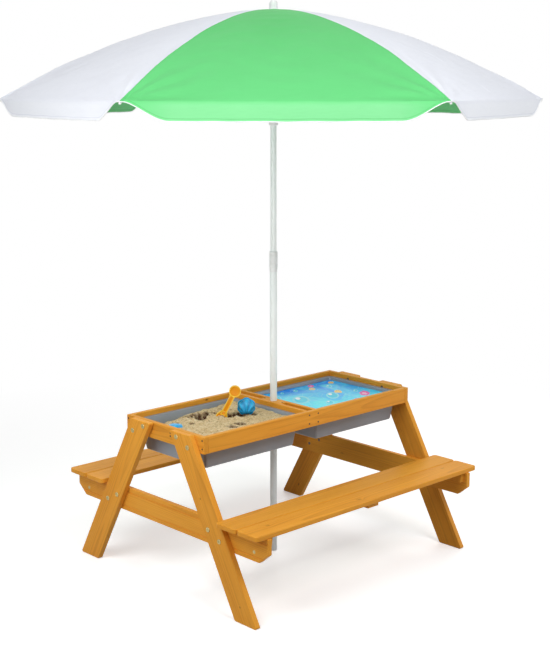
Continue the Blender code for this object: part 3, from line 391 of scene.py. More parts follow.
def fit(piece, name, finishes, body, replaced=()):
    """Names a piece, finishes it and fixes it to a body."""
    piece.name = name
    piece.data.name = name
    if len(piece.data.materials) != len(finishes):
        piece.data.materials.clear()
        for finish in finishes:
            piece.data.materials.append(finish.material)
    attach(piece, body)
    if replaced:
        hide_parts(*replaced)
    return piece


def copied(master, name, matrix, finish, body):
    """A copy with its own mesh, put at a place."""
    copy = linked(name, master.data.copy())
    copy.data.transform(matrix)
    return fit(copy, name, [finish], body)


def facing(place, normal, spin=0.0):
    """Puts local Z along a normal at a place."""
    turn = z_axis.rotation_difference(Vector(normal)).to_matrix().to_4x4()
    return Matrix.Translation(place) @ turn @ Matrix.Rotation(spin, 4, "Z")


zinc = Finish("zinc_plated_steel", {"Metallic": 0.9})
zinc_cloud = zinc.noise(zinc.place(), 220.0, 3.0)
zinc.clouded(zinc_cloud, srgb(150, 138, 92), srgb(200, 186, 134), 0.25, 0.24)
zinc.bump(zinc_cloud, 0.0001, 0.4)

worn_steel = Finish("dull_barrel_nut_steel", {"Metallic": 0.5, "Roughness": 0.55})
worn_cloud = worn_steel.noise(worn_steel.place(), 260.0, 3.0)
worn_tone = worn_steel.mix(worn_cloud, srgb(70, 58, 44), srgb(128, 118, 100))
worn_steel.surface({"Base Color": worn_tone})
worn_steel.bump(worn_cloud, 0.0001, 0.4)

head_height, nut_height, hairline = 0.0022, 0.0006, 0.00001
bolt = cylinder(36, 0.007, head_height, head_height / 2)
begin(bolt)
pick(bolt, lambda middle, item: middle.z > head_height - hairline, "EDGE")
bpy.ops.mesh.bevel(offset=0.0011, segments=4)
combine(bolt, cylinder(6, 0.0029, 0.0026, head_height), "DIFFERENCE")
settle(bolt)
nut = cylinder(28, 0.005, nut_height, nut_height / 2)
begin(nut)
pick(nut, lambda middle, item: middle.z > nut_height - hairline, "EDGE")
bpy.ops.mesh.bevel(offset=0.0003, segments=2)
combine(nut, block((0.0075, 0.0012, 0.0008), nut_height), "DIFFERENCE")
settle(nut)

leg_face, board_face, board_back = 0.4508, 0.433, 0.418
bolt_places = [(0.1258, 0.4535), (0.0765, 0.4750), (0.2590, 0.2130), (0.2115, 0.2355)]
count = 0
for end in (-1, 1):
    for side in (-1, 1):
        for y, z in bolt_places:
            count += 1
            outward = facing((end * leg_face, side * y, z), (end, 0, 0), 0.7 * count)
            inward = facing((end * board_back, side * y, z), (-end, 0, 0), 1.3 * count)
            copied(bolt, f"bolt_head_{count}", outward, zinc, "table")
            copied(nut, f"bolt_nut_{count}", inward, worn_steel, "table")
        beam_end = facing((end * board_face, side * 0.382, 0.213), (end, 0, 0), 0.6)
        copied(nut, f"beam_end_nut_{count // 4}", beam_end, zinc, "table")
bpy.data.objects.remove(bolt)
bpy.data.objects.remove(nut)


# Screws: small countersunk heads with a dark coating, flush with the boards.
# They join the long rails to the cross rails and to the end boards, and hold the blocks beside
# the pole.
black_oxide = Finish("dark_coated_screw", {"Metallic": 0.4})
oxide_cloud = black_oxide.noise(black_oxide.place(), 500.0)
black_oxide.clouded(oxide_cloud, srgb(48, 34, 24), srgb(92, 66, 44), 0.3, 0.4)
screw = cylinder(20, 0.0027, 0.0005, 0.00025)
begin(screw)
pick(screw, lambda middle, item: item.normal.z > 0.9)
bpy.ops.mesh.inset(thickness=0.0009)
extrude(0, 0, -0.0004)
widen(0.4, 0.4, 1)
settle(screw)
rail_face = 0.177
screw_places = []
for side in (-1, 1):
    for x in (-0.0188, 0.0188):
        for z in (0.4780, 0.4515):
            screw_places.append(((x, side * rail_face, z), (0, side, 0)))
    for end in (-1, 1):
        for z in (0.4787, 0.4543):
            screw_places.append(((end * board_face, side * 0.1695, z), (end, 0, 0)))
        for z in (0.4725, 0.4640):
            if side == end:
                screw_places.append(((end * board_face, side * 0.0285, z), (end, 0, 0)))
    screw_places.append(((0, side * 0.0395, table_top), (0, 0, 1)))
for number, (place, normal) in enumerate(screw_places):
    where = facing(place, normal, number)
    copied(screw, f"wood_screw_{number + 1}", where, black_oxide, "table")
bpy.data.objects.remove(screw)


# Corner blocks: four small pine blocks glued inside the outer ends of the seat beams. The seat
# planks are screwed down into them. Same wood and finish as the boards, with the grain upright.
block_finish = wood_finish("corner_block", (0, 0, 0.234), z_axis, x_axis, 77, [])
corner_block = block((0.014, 0.034, 0.030), 0.2455)
begin(corner_block)
pick(corner_block, lambda middle, item: item.normal.z < -0.9)
widen(1, 0.80, 1)
pick(corner_block, lambda middle, item: True, "EDGE")
bpy.ops.mesh.bevel(offset=0.0010, segments=2)
settle(corner_block)
for number, (end, side) in enumerate(((-1, -1), (-1, 1), (1, -1), (1, 1))):
    where = Matrix.Translation((end * 0.4109, side * 0.408, 0))
    copied(corner_block, f"corner_block_{number + 1}", where, block_finish, "table")
bpy.data.objects.remove(corner_block)


# Bins: two alike tubs of grey polypropylene, injection moulded with drafted walls, round
# corners and a flat rim. The rims hang on the ledgers inside the frame.
def thicken(piece, thickness, even=False):
    """Gives a shell a wall on its inner side."""
    wall = piece.modifiers.new("wall", "SOLIDIFY")
    wall.thickness = thickness
    wall.offset = -1
    wall.use_even_offset = even


grey = Finish("moulded_grey_plastic", {"IOR": 1.49})
grey_cloud = grey.noise(grey.place(), 9.0, 3.0)
grey.clouded(grey_cloud, srgb(132, 140, 150), srgb(149, 157, 167), 0.12, 0.27)
grey.grain(900.0, 0.00012, 0.5)

bin_middle, bin_top, bin_floor = 0.2208, 0.4745, 0.3855
rim_half = (0.1962, 0.1610)
mouth_half = (0.1837, 0.1485)
mouth_radius = 0.0060
bin_draft = 0.012
foot_radius = 0.004
wall_height = bin_top - bin_floor - foot_radius
clear()
bpy.ops.mesh.primitive_plane_add(size=2, location=(0, 0, bin_top))
tub = bpy.context.object
tub.scale = (*rim_half, 1)
settle(tub)
# The rim: a plate with round corners and the opening drawn inside it.
begin(tub, "VERT", "SELECT")
bpy.ops.mesh.bevel(offset=0.0185, segments=8, affect="VERTICES")
pick(tub, lambda middle, item: True)
bpy.ops.mesh.inset(thickness=rim_half[0] - mouth_half[0])
# The walls go down from the opening with their draft, and turn into the floor at the foot.
here, level = mouth_half, bin_top
drops = [(wall_height * step, bin_draft * step) for step in (0.25, 0.5, 0.75, 1.0)]
for step in range(1, 6):
    angle = math.pi / 2 * step / 5
    drops.append((
        wall_height + foot_radius * math.sin(angle),
        bin_draft + foot_radius * (1 - math.cos(angle)),
    ))
for drop, inward in drops:
    there = (mouth_half[0] - inward, mouth_half[1] - inward)
    extrude(0, 0, bin_top - drop - level)
    widen(there[0] / here[0], there[1] / here[1], 1)
    here, level = there, bin_top - drop
bpy.ops.mesh.inset(thickness=0.03)


def at_mouth(middle, item):
    """Whether an edge belongs to the opening in the rim."""
    reach_x, reach_y = mouth_half[0] + 0.001, mouth_half[1] + 0.001
    inside = all(abs(v.co.x) < reach_x and abs(v.co.y) < reach_y for v in item.verts)
    return inside and abs(middle.z - bin_top) < 0.0001


pick(tub, at_mouth, "EDGE")
bpy.ops.mesh.bevel(offset=0.0018, segments=3)
thicken(tub, 0.0025, True)
settle(tub, 32)
for name, side in (("sand_bin", -1), ("water_bin", 1)):
    place = Matrix.Translation((side * bin_middle, 0, 0))
    tub_copy = copied(tub, f"{name}_tub", place, grey, name)
    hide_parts(name)
bpy.data.objects.remove(tub)


# Sand: loose dry play sand, heaped towards the front and scooped out in several places, with
# painted shade darkening the hollows and small clods lying on top.
def mouth_at(height):
    """Half the length and half the width of the inside of a bin at a height."""
    inward = bin_draft * (bin_top - height) / wall_height
    return mouth_half[0] - inward, mouth_half[1] - inward


def filled_surface(columns, rows, middle_x, height_at):
    """A grid that fills a bin from wall to wall at the heights that a function gives."""
    edge_gap = 0.0003
    clear()
    bpy.ops.mesh.primitive_grid_add(x_subdivisions=columns, y_subdivisions=rows, size=2)
    grid = bpy.context.object
    for corner in grid.data.vertices:
        half_x, half_y = mouth_half
        x, y = corner.co.x * half_x, corner.co.y * half_y
        from_x = abs(x) - (half_x - mouth_radius)
        from_y = abs(y) - (half_y - mouth_radius)
        if from_x > 0 and from_y > 0:
            shrink = max(from_x, from_y) / math.hypot(from_x, from_y)
            x = math.copysign(half_x - mouth_radius + from_x * shrink, x)
            y = math.copysign(half_y - mouth_radius + from_y * shrink, y)
        height = height_at(x, y)
        there = mouth_at(height)
        corner.co.x = middle_x + x * (there[0] - edge_gap) / half_x
        corner.co.y = y * (there[1] - edge_gap) / half_y
        corner.co.z = height
    # A skirt goes down inside the bin from the open edge and is closed below.
    begin(grid, "EDGE")
    bpy.ops.mesh.select_non_manifold()
    bpy.ops.mesh.extrude_region_move()
    widen(0.96, 0.95, 0, centre=(middle_x, 0, 0.425))
    bpy.ops.mesh.edge_face_add()
    return settle(grid, 180)


sand_top, sand_fall = 0.4665, 0.034
# Each hollow is its place, its radius and its depth.
hollows = [(-0.2376, 0.0842, 0.027, 0.028), (-0.1940, 0.0740, 0.014, 0.020),
           (-0.1700, 0.0120, 0.016, 0.016), (-0.1400, 0.0040, 0.021, 0.019),
           (-0.1084, -0.0160, 0.014, 0.012), (-0.2058, -0.0733, 0.013, 0.013),
           (-0.2466, -0.0864, 0.013, 0.013), (-0.3060, 0.0300, 0.008, 0.005),
           (-0.2550, 0.0500, 0.014, 0.014)]


def sand_height(x, y):
    """The top of the sand at a place measured from the middle of its bin."""
    u, v = x / rim_half[0], y / rim_half[1]
    slope = min(max((v - 0.5 * u - 0.2) / 1.3, 0.0), 1.0)
    height = sand_top - sand_fall * slope ** 2
    height += 0.0015 * math.sin(7.226 * u + 0.698) * math.cos(6.597 * v)
    world_x = x - bin_middle
    clumps = noise.fractal(Vector((x * 42, y * 42, 0.3)), 0.8, 2.1, 5)
    grit = noise.noise(Vector((x * 300, y * 300, 2.7)))
    height += 0.0026 * clumps + 0.0009 * grit
    for place_x, place_y, radius, depth in hollows:
        apart = math.hypot(world_x - place_x, y - place_y) / radius
        apart += 0.45 * noise.noise(Vector((x * 75, y * 75, 7.1)))
        height -= depth * math.exp(-max(apart, 0.0) ** 3)
        height += 0.20 * depth * math.exp(-((apart - 1.5) / 0.4) ** 2)
    lump = math.hypot(world_x + 0.2130, y - 0.0700) / 0.011
    return height + 0.007 * math.exp(-lump ** 2)


heap = filled_surface(190, 155, -bin_middle, sand_height)
# Each corner keeps how much painted shade darkens it: the deep hollows are shaded, with a ragged
# border.
damp = heap.data.attributes.new("damp", "FLOAT", "POINT")
for corner in heap.data.vertices:
    hollow_darkness = 0.0
    ragged = 0.4 * noise.fractal(corner.co * 90, 0.8, 2.1, 3)
    for place_x, place_y, radius, depth in hollows:
        apart = math.hypot(corner.co.x - place_x, corner.co.y - place_y) / radius + ragged
        hollow_darkness = max(hollow_darkness, math.exp(-max(apart / 1.25, 0.0) ** 4) * min(depth / 0.008, 1.0))
    damp.data[corner.index].value = hollow_darkness

sand = Finish("loose_play_sand", {"Specular IOR Level": 0.2, "Roughness": 0.95})
grains = sand.noise(sand.place(), 1100.0, 3.0, 0.7)
clots = sand.noise(sand.place(), 130.0, 4.0, 0.65)
slow = sand.noise(sand.place(), 26.0, 3.0)
cells = sand.node("ShaderNodeTexVoronoi", None, {"Vector": sand.place(), "Scale": 300.0})
hollow_darkness = sand.attribute("damp")
tone = sand.mix(((slow - 0.35) * 2.5).held(), srgb(242, 217, 172), srgb(228, 199, 148))
tone = sand.mix(((grains - 0.48) * 5.0).held() * 0.55, tone, srgb(150, 116, 76))
tone = sand.mix(((clots - 0.54) * 8.0).held() * 0.7, tone, srgb(132, 96, 58))
tone = sand.mix(((0.45 - clots) * 8.0).held() * 0.8, tone, srgb(252, 240, 214))
tone = sand.mix(((0.18 - cells) * 9.0).held() * 0.75, tone, srgb(84, 60, 38))
# Painted shade: the hollows turn a deep brown.
tone = sand.mix((hollow_darkness * (clots * 1.4 + 0.55)).held(), tone, srgb(76, 44, 22))
sand.surface({"Base Color": tone})
sand.bump(grains * 0.5 + clots, 0.0040, 1.0)
fit(heap, "sand_heap", [sand], "sand_bin", ["sand"])

# The clods: little squashed lumps strewn over the heap, joined into one piece.
chance = random.Random(4)
clods = []
for number in range(190):
    x = chance.uniform(-0.165, 0.165)
    y = chance.uniform(-0.135, 0.115)
    radius = chance.uniform(0.0010, 0.0032)
    middle = (x - bin_middle, y, sand_height(x, y) + radius * 0.2)
    clear()
    bpy.ops.mesh.primitive_ico_sphere_add(subdivisions=1, radius=radius, location=middle)
    clod = bpy.context.object
    clod.scale = [chance.uniform(0.7, 1.3) for _ in range(3)]
    clod.rotation_euler = [chance.uniform(0, 3) for _ in range(3)]
    clods.append(clod)
for clod in clods:
    clod.select_set(True)
bpy.context.view_layer.objects.active = clods[0]
bpy.ops.object.join()
crumbs = settle(bpy.context.object, 60)
fit(crumbs, "sand_clods", [sand], "sand_bin")


# Water: the filled bin. A glossy surface, pale blue in front and deep blue behind, over a
# floor that is printed with bubbles, small shells and pink coral, all plain shapes.
water_level = 0.4645


def water_height(x, y):
    """The top of the water, with a swell of less than a millimetre."""
    swell = math.sin(46 * x + 9 * y) + math.sin(38 * y - 21 * x + 1.0)
    return water_level + 0.00035 * swell


pool = filled_surface(110, 90, bin_middle, water_height)
water = Finish("blue_water", {"Roughness": 0.14, "Specular IOR Level": 0.06})
flat = water.stretched(water.place(), (1, 1, 0))
x, y, _ = water.parts(flat)
bend = water.noise(flat, 6.0, 2.0) - 0.5
slant = ((x - bin_middle) * 2.4 + y * 4.6 + bend * 1.6 + 0.30).held()
colour = water.mix(slant, srgb(92, 230, 255), srgb(0, 140, 255))
for shift, strength in ((0.02, 0.55), (0.30, 0.4), (-0.42, 0.35)):
    band = (1 - ((y * 6.0 - (x - 0.23) * 3.0 + bend * 2.6 + shift).size() * 5.0)).held()
    colour = water.mix(band * strength, colour, srgb(100, 248, 255))
cells = water.node("ShaderNodeTexVoronoi", {"feature": "DISTANCE_TO_EDGE"},
                   {"Vector": flat, "Scale": 30.0})
glints = ((0.05 - cells) * 24.0).held() * water.noise(flat, 22.0)
colour = water.mix(glints * 0.4, colour, srgb(196, 238, 252))

# The shapes are printed long in one direction, so that they look round from the front left.
print_turn, print_length = math.radians(-43.0), 1.9
turned_flat = water.node(
    "ShaderNodeMapping", {"vector_type": "TEXTURE"},
    {"Vector": flat, "Rotation": (0, 0, print_turn), "Scale": (1, print_length, 1)},
)
across, deep, _ = water.parts(turned_flat)


def print_place(place_x, place_y):
    """Where a place in the bin lies on the turned and stretched print."""
    along = place_x * math.cos(print_turn) + place_y * math.sin(print_turn)
    away = -place_x * math.sin(print_turn) + place_y * math.cos(print_turn)
    return along, away / print_length


def apart_from(centre):
    """How far a point of the print is from a centre."""
    return water.node("ShaderNodeVectorMath", {"operation": "DISTANCE"},
                      {0: turned_flat, 1: (*centre, 0)}, "Value")


# Bubbles: a clear disc with a pale rim and a bright spot at its upper left.
for place_x, place_y, radius in ((0.134, 0.014, 0.027), (0.092, 0.078, 0.012),
                                 (0.180, -0.070, 0.013), (0.250, -0.014, 0.021),
                                 (0.330, 0.080, 0.010), (0.352, -0.020, 0.008),
                                 (0.205, 0.112, 0.008), (0.150, 0.118, 0.006)):
    centre = print_place(place_x, place_y)
    away = apart_from(centre)
    body = ((radius - away) * 900.0).held()
    rim = (1 - ((away - radius * 0.88).size() * (5.0 / radius))).held()
    spot = apart_from((centre[0] - radius * 0.35, centre[1] + radius * 0.35))
    colour = water.mix(body * 0.85, colour, srgb(64, 212, 240))
    colour = water.mix(rim * 0.7, colour, srgb(176, 242, 250))
    colour = water.mix(((radius * 0.34 - spot) * 500.0).held(), colour, srgb(250, 255, 255))
# Shells: a striped fan that opens from its hinge.
for place_x, place_y, radius, tint in ((0.300, 0.010, 0.013, (252, 226, 150)),
                                       (0.262, 0.092, 0.011, (250, 236, 200)),
                                       (0.372, 0.112, 0.010, (252, 214, 150))):
    centre = print_place(place_x, place_y)
    away = apart_from(centre)
    hinge = deep - (centre[1] - radius * 0.7)
    ridges = water.node("ShaderNodeMath", {"operation": "ARCTAN2"},
                        {0: across - centre[0], 1: hinge})
    fan = ((radius - away) * 900.0).held() * (hinge * 900.0).held()
    stripe = ((ridges * 15.0).sine() * 0.5 + 0.5).held()
    colour = water.mix(fan, colour, srgb(*tint))
    colour = water.mix(fan * stripe * 0.55, colour, srgb(232, 168, 70))
# Coral: pink cushions with a frilled edge.
for place_x, place_y, radius in ((0.290, 0.126, 0.012), (0.262, -0.118, 0.018),
                                 (0.346, -0.066, 0.019)):
    centre = print_place(place_x, place_y)
    frill = water.noise(turned_flat, 130.0, 1.0) * (radius * 0.6)
    reach = apart_from(centre) + frill
    colour = water.mix(((radius * 1.2 - reach) * 600.0).held(), colour, srgb(240, 110, 184))
    colour = water.mix(((radius * 0.8 - reach) * 300.0).held() * 0.8, colour, srgb(254, 190, 226))
water.surface({"Base Color": colour})
water.bump(water.noise(flat, 60.0, 2.0), 0.0006, 0.35)
fit(pool, "water_surface", [water], "water_bin", ["water"])


# Spade: one moulding in yellow polypropylene, a dished round grip, a channelled shaft and a
# blade, stuck in the sand with its shaft leaning towards the water bin.
yellow = Finish("yellow_plastic", {"Specular IOR Level": 0.35})
# Painted shade: the recesses get a darker orange version of the yellow.
painted_recess_shade = Finish("yellow_plastic_painted_recess_shade", {"Specular IOR Level": 0.2})
for paint, first, second in ((yellow, srgb(255, 204, 52), srgb(255, 214, 72)),
                             (painted_recess_shade, srgb(236, 146, 20), srgb(242, 162, 30))):
    paint.clouded(paint.noise(paint.place(), 60.0), first, second, 0.12, 0.26)
    paint.grain(700.0)


def soften(piece, width, corner=30):
    """Rounds the edges that are sharper than an angle."""
    edge = piece.modifiers.new("soft_edge", "BEVEL")
    edge.width = width
    edge.segments = 2
    edge.angle_limit = math.radians(corner)


def put(piece, place, turn=(0, 0, 0)):
    """Turns a finished mesh, by degrees, and moves it to its place."""
    turn = Euler([math.radians(part) for part in turn]).to_matrix().to_4x4()
    piece.data.transform(Matrix.Translation(place) @ turn)


# The grip is dished on both sides, the shaft has a channel on both sides, and the blade, which
# narrows into the shaft, is hollowed in front.
plastic_thickness, grip_height = 0.006, 0.1055
spade = cylinder(64, 0.018, plastic_thickness, grip_height, math.pi / 2)
begin(spade)
for side in (-1, 1):
    pick(spade, lambda middle, item: item.normal.y * side > 0.99)
    bpy.ops.mesh.inset(thickness=0.0026)
    for depth, ratio in ((0.0009, 0.96), (0.0008, 0.86), (0.0005, 0.66)):
        extrude(0, -side * depth, 0)
        widen(ratio, 1, ratio, centre=(0, 0, grip_height))
shaft = block((0.0155, plastic_thickness, 0.0680), 0.0560)
begin(shaft)
for side in (-1, 1):
    pick(shaft, lambda middle, item: item.normal.y * side > 0.99)
    bpy.ops.mesh.inset(thickness=0.0030)
    extrude(0, -side * 0.0019, 0)
blade = block((0.036, plastic_thickness, 0.0180), 0.0090)
begin(blade)
for rise, ratio in ((0.006, 0.86), (0.006, 0.76), (0.006, 0.78)):
    pick(blade, lambda middle, item: item.normal.z > 0.9)
    extrude(0, 0, rise)
    widen(ratio, 1, 1)
pick(blade, lambda middle, item: item.normal.y < -0.9)
bpy.ops.mesh.inset(thickness=0.0026)
extrude(0, 0.0018, 0)
combine(spade, shaft, "UNION")
combine(spade, blade, "UNION")
soften(spade, 0.0007, 42)
settle(spade, 40)
# The floors of the dish, of the channels and of the blade's hollow get the darker orange of
# painted shade.
spade.data.materials.append(yellow.material)
spade.data.materials.append(painted_recess_shade.material)
for face in spade.data.polygons:
    face.material_index = int(abs(face.normal.y) > 0.35 and abs(face.center.y) < 0.0022)
put(spade, (-0.19019, 0.03819, 0.44902), (0, 27, -43))
fit(spade, "toy_spade", [yellow, painted_recess_shade], "spade", ["spade"])


# Sand moulds: thin blue polypropylene shells. One is a ribbed scallop that stands on its edge
# behind the spade, the other a five-armed star that lies half buried.
blue = Finish("blue_plastic", {"Specular IOR Level": 0.5})
blue_cloud = blue.noise(blue.place(), 70.0)
blue_tone = blue.mix(blue_cloud, srgb(30, 182, 242), srgb(54, 198, 252))
# Painted shade darkens the grooves of the moulds to a deep blue.
blue.surface({
    "Base Color": blue.mix(blue.attribute("groove") * 0.65, blue_tone, srgb(18, 112, 182)),
    "Roughness": blue_cloud * 0.12 + 0.22,
})
blue.grain(700.0)

# The scallop: a ring drawn in and up, step by step, from its flat rim to its crown.
clear()
here, height = 0.0288, 0.0
bpy.ops.mesh.primitive_circle_add(vertices=144, radius=here, fill_type="NOTHING")
scallop = bpy.context.object
begin(scallop, "EDGE", "SELECT")
for radius, level in ((0.0278, 0.0016), (0.0266, 0.0016), (0.0256, 0.0), (0.0246, 0.0004),
                      (0.0240, 0.0030), (0.0232, 0.0060), (0.0220, 0.0092), (0.0202, 0.0124),
                      (0.0178, 0.0152), (0.0150, 0.0174), (0.0118, 0.0190), (0.0084, 0.0200),
                      (0.0048, 0.0206)):
    bpy.ops.mesh.extrude_edges_move(TRANSFORM_OT_translate={"value": (0, 0, level - height)})
    widen(radius / here, radius / here, 1)
    here, height = radius, level
bpy.ops.mesh.edge_face_add()
bpy.ops.mesh.inset(thickness=0.0025)
only(scallop)
# Ten waves in a turn, fanned out from the hinge, make the ribs and the lobes of the rim.
# Painted shade darkens the troughs between the ribs.
groove = scallop.data.attributes.new("groove", "FLOAT", "POINT")
for corner in scallop.data.vertices:
    reach = math.hypot(corner.co.x, corner.co.y)
    around = math.atan2(corner.co.x, corner.co.y + 0.0190)
    ridge = math.cos(around * 10.0)
    fan = min(max((corner.co.y + 0.0215) / 0.010, 0.0), 1.0)
    rise = min(max((corner.co.z - 0.0010) / 0.006, 0.0), 1.0)
    groove.data[corner.index].value = (0.5 - 0.5 * ridge) * fan * rise
    if corner.co.z > 0.0020:
        corner.co.z += 0.0022 * ridge * fan * rise
        corner.co.x *= 1 + 0.06 * ridge * fan * rise
        corner.co.y *= 1 + 0.06 * ridge * fan * rise
    elif reach > 0.025:
        lobe = 1 - 0.08 * (0.5 - 0.5 * math.cos(10 * around)) * fan
        corner.co.x *= lobe
        corner.co.y *= lobe
begin(scallop, action="SELECT")
bpy.ops.mesh.normals_make_consistent(inside=False)
thicken(scallop, 0.0015)
soften(scallop, 0.0004, 50)
settle(scallop, 45)
put(scallop, (-0.11055, 0.004, 0.48802), (90, 0, -40))
fit(scallop, "toy_scallop_mould", [blue], "shell_mould", ["shell_mould"])

# The star: ten corners, five of them drawn in, raised in two steps to a low point.
clear()
star_tip, star_notch = 0.027, 0.015
bpy.ops.mesh.primitive_circle_add(vertices=10, radius=star_tip, fill_type="NGON")
star = bpy.context.object
for corner in star.data.vertices:
    around = math.atan2(corner.co.y, corner.co.x)
    radius = star_notch if round(around / (math.pi / 5)) % 2 else star_tip
    corner.co.x, corner.co.y = radius * math.cos(around), radius * math.sin(around)
begin(star, "VERT", "SELECT")
bpy.ops.mesh.bevel(offset=0.0035, segments=4, affect="VERTICES")
pick(star, lambda middle, item: True)
for rise, ratio in ((0.0092, 0.96), (0.0012, 0.90)):
    extrude(0, 0, rise)
    widen(ratio, ratio, 1)
bpy.ops.mesh.poke(offset=0.0040, use_relative_offset=False)
soften(star, 0.0006)
settle(star, 40)
# Painted shade darkens the star between its arms, more towards the tips.
star_painted_groove_shade = star.data.attributes.new("groove", "FLOAT", "POINT")
for corner in star.data.vertices:
    around = math.atan2(corner.co.y, corner.co.x)
    between = 0.5 - 0.5 * math.cos(5 * around)
    outness = min(math.hypot(corner.co.x, corner.co.y) / 0.012, 1.0)
    star_painted_groove_shade.data[corner.index].value = between * outness
put(star, (-0.355, 0.036, 0.45994))
fit(star, "toy_star_mould", [blue], "star_mould", ["star_mould"])


# Pole: two steel tubes, the upper one sliding in the lower one, powder coated white. A plastic
# plug closes the foot, and a clamp collar with a ring below it holds the two halves.
def turned(profile, steps=48, closed=True):
    """Spins a profile of radius and height round the pole's axis, as on a lathe."""
    clear()
    bpy.ops.mesh.primitive_plane_add(size=1)
    piece = bpy.context.object
    begin(piece, "VERT", "SELECT")
    bpy.ops.mesh.merge(type="CENTER")
    first = profile[0]
    bpy.ops.transform.translate(value=(first[0], 0, first[1]))
    for before, after in zip(profile, profile[1:]):
        extrude(after[0] - before[0], 0, after[1] - before[1])
    if closed:
        pick(piece, lambda middle, item: len(item.link_edges) == 1, "VERT")
        bpy.ops.mesh.edge_face_add()
    bpy.ops.mesh.select_mode(type="EDGE")
    bpy.ops.mesh.select_all(action="SELECT")
    bpy.ops.mesh.spin(steps=steps, angle=2 * math.pi, center=(0, 0, 0), axis=(0, 0, 1))
    bpy.ops.mesh.select_all(action="SELECT")
    bpy.ops.mesh.remove_doubles(threshold=hairline)
    bpy.ops.mesh.normals_make_consistent(inside=False)
    only(piece)
    return piece


white_tube = Finish("white_powder_coat", {"Coat Weight": 0.15, "Coat Roughness": 0.25})
coat_cloud = white_tube.noise(white_tube.stretched(white_tube.place(), (1, 1, 0.2)), 40.0, 3.0)
white_tube.clouded(coat_cloud, srgb(238, 245, 244), srgb(246, 251, 250), 0.14, 0.30)
white_tube.grain(420.0, 0.00015, 0.35)
white_plastic = Finish("white_moulded_plastic", {"IOR": 1.49})
plastic_cloud = white_plastic.noise(white_plastic.place(), 50.0)
white_plastic.clouded(plastic_cloud, srgb(226, 229, 229), srgb(240, 242, 242), 0.15, 0.34)
white_plastic.grain(900.0)

plug = turned([(0, 0), (0.0100, 0), (0.01075, 0.0010), (0.01075, 0.004), (0.0094, 0.004),
               (0.0094, 0.027), (0.0085, 0.029), (0, 0.029)], closed=False)
fit(settle(plug), "pole_plug", [white_plastic], "pole_foot", ["pole_foot_plug"])
lower = turned([(0.0099, 0.0043), (0.0105, 0.0043), (0.01075, 0.0047), (0.01075, 0.9345),
                (0.0105, 0.935), (0.0099, 0.935), (0.00975, 0.9345), (0.00975, 0.0047)])
fit(settle(lower), "pole_tube_lower", [white_tube], "lower_pole", ["lower_tube"])
ring = turned([(0.01105, 0.8930), (0.0114, 0.8927), (0.0118, 0.8934), (0.0118, 0.8960),
               (0.0116, 0.8965), (0.0118, 0.8970), (0.0118, 0.9040), (0.0114, 0.9047),
               (0.01105, 0.9047)])
fit(settle(ring), "pole_ring", [white_plastic], "lower_pole", ["collar_ring"])
clamp = turned([(0.01105, 0.9050), (0.0116, 0.9050), (0.0122, 0.9056), (0.0123, 0.9066),
                (0.0123, 0.9160), (0.0119, 0.9166), (0.0123, 0.9172), (0.0123, 0.9440),
                (0.0119, 0.9446), (0.0123, 0.9452), (0.0123, 0.9520), (0.0118, 0.9538),
                (0.0108, 0.9550), (0.00955, 0.9550), (0.00955, 0.9353), (0.01105, 0.9353)])
fit(settle(clamp), "pole_clamp_collar", [white_plastic], "pole_collar",
    ["pole_collar"])
upper = turned([(0.0082, 0.7650), (0.0090, 0.7650), (0.00925, 0.7654), (0.00925, 1.6758),
                (0.0090, 1.6762), (0.0082, 1.6762), (0.0080, 1.6758), (0.0080, 0.7654)])
fit(settle(upper), "pole_tube_upper", [white_tube], "upper_pole", ["upper_tube"])


# Finial: a ribbed cap of white plastic pressed on the end of the pole, over the round hole in
# the cloth. It clamps the cloth to the hub.
cap = turned([(0.00955, 1.6685), (0.0128, 1.6685), (0.0135, 1.6692), (0.0135, 1.6712),
              (0.0122, 1.6722), (0.0119, 1.6740), (0.0119, 1.6850), (0.0112, 1.6886),
              (0.0096, 1.6918), (0.0066, 1.6941), (0.0030, 1.6949), (0, 1.6950),
              (0, 1.6765), (0.00955, 1.6765)], 72)
# Eighteen shallow ribs round the cap's side, to grip it by.
for corner in cap.data.vertices:
    reach = math.hypot(corner.co.x, corner.co.y)
    if 1.6735 < corner.co.z < 1.6900 and reach > 0.0105:
        around = math.atan2(corner.co.y, corner.co.x)
        ratio = 1 + 0.035 * math.cos(18 * around)
        corner.co.x *= ratio
        corner.co.y *= ratio
fit(settle(cap, 40), "pole_finial", [white_plastic], "upper_pole", ["finial"])


# Folding frame: a slotted hub at the top, six ribs with a lug each, six forked stretchers and
# a slotted runner on the pole. The rods are steel wire with a white coating, the rest is white
# plastic, and each rib ends in a small cap sewn into the cloth.
def smooth_copy(node, name, body, finish, angle):
    """A CAD piece with its corners merged and its round faces shaded smooth."""
    piece = linked(name, cad_nodes[node].data.copy())
    piece.data.materials.clear()
    begin(piece, "VERT", "SELECT")
    bpy.ops.mesh.remove_doubles(threshold=hairline)
    settle(piece, angle)
    return fit(piece, name, [finish], body, [node])


coated = Finish("white_coated_wire", {"Metallic": 0.1})
wire_cloud = coated.noise(coated.place(), 90.0, 3.0)
coated.clouded(wire_cloud, srgb(206, 210, 210), srgb(228, 231, 231), 0.2, 0.28)
coated.grain(600.0, 0.0001, 0.35)
smooth_copy("hub", "parasol_hub", "upper_pole", white_plastic, 35)
smooth_copy("runner", "parasol_runner", "runner", white_plastic, 35)

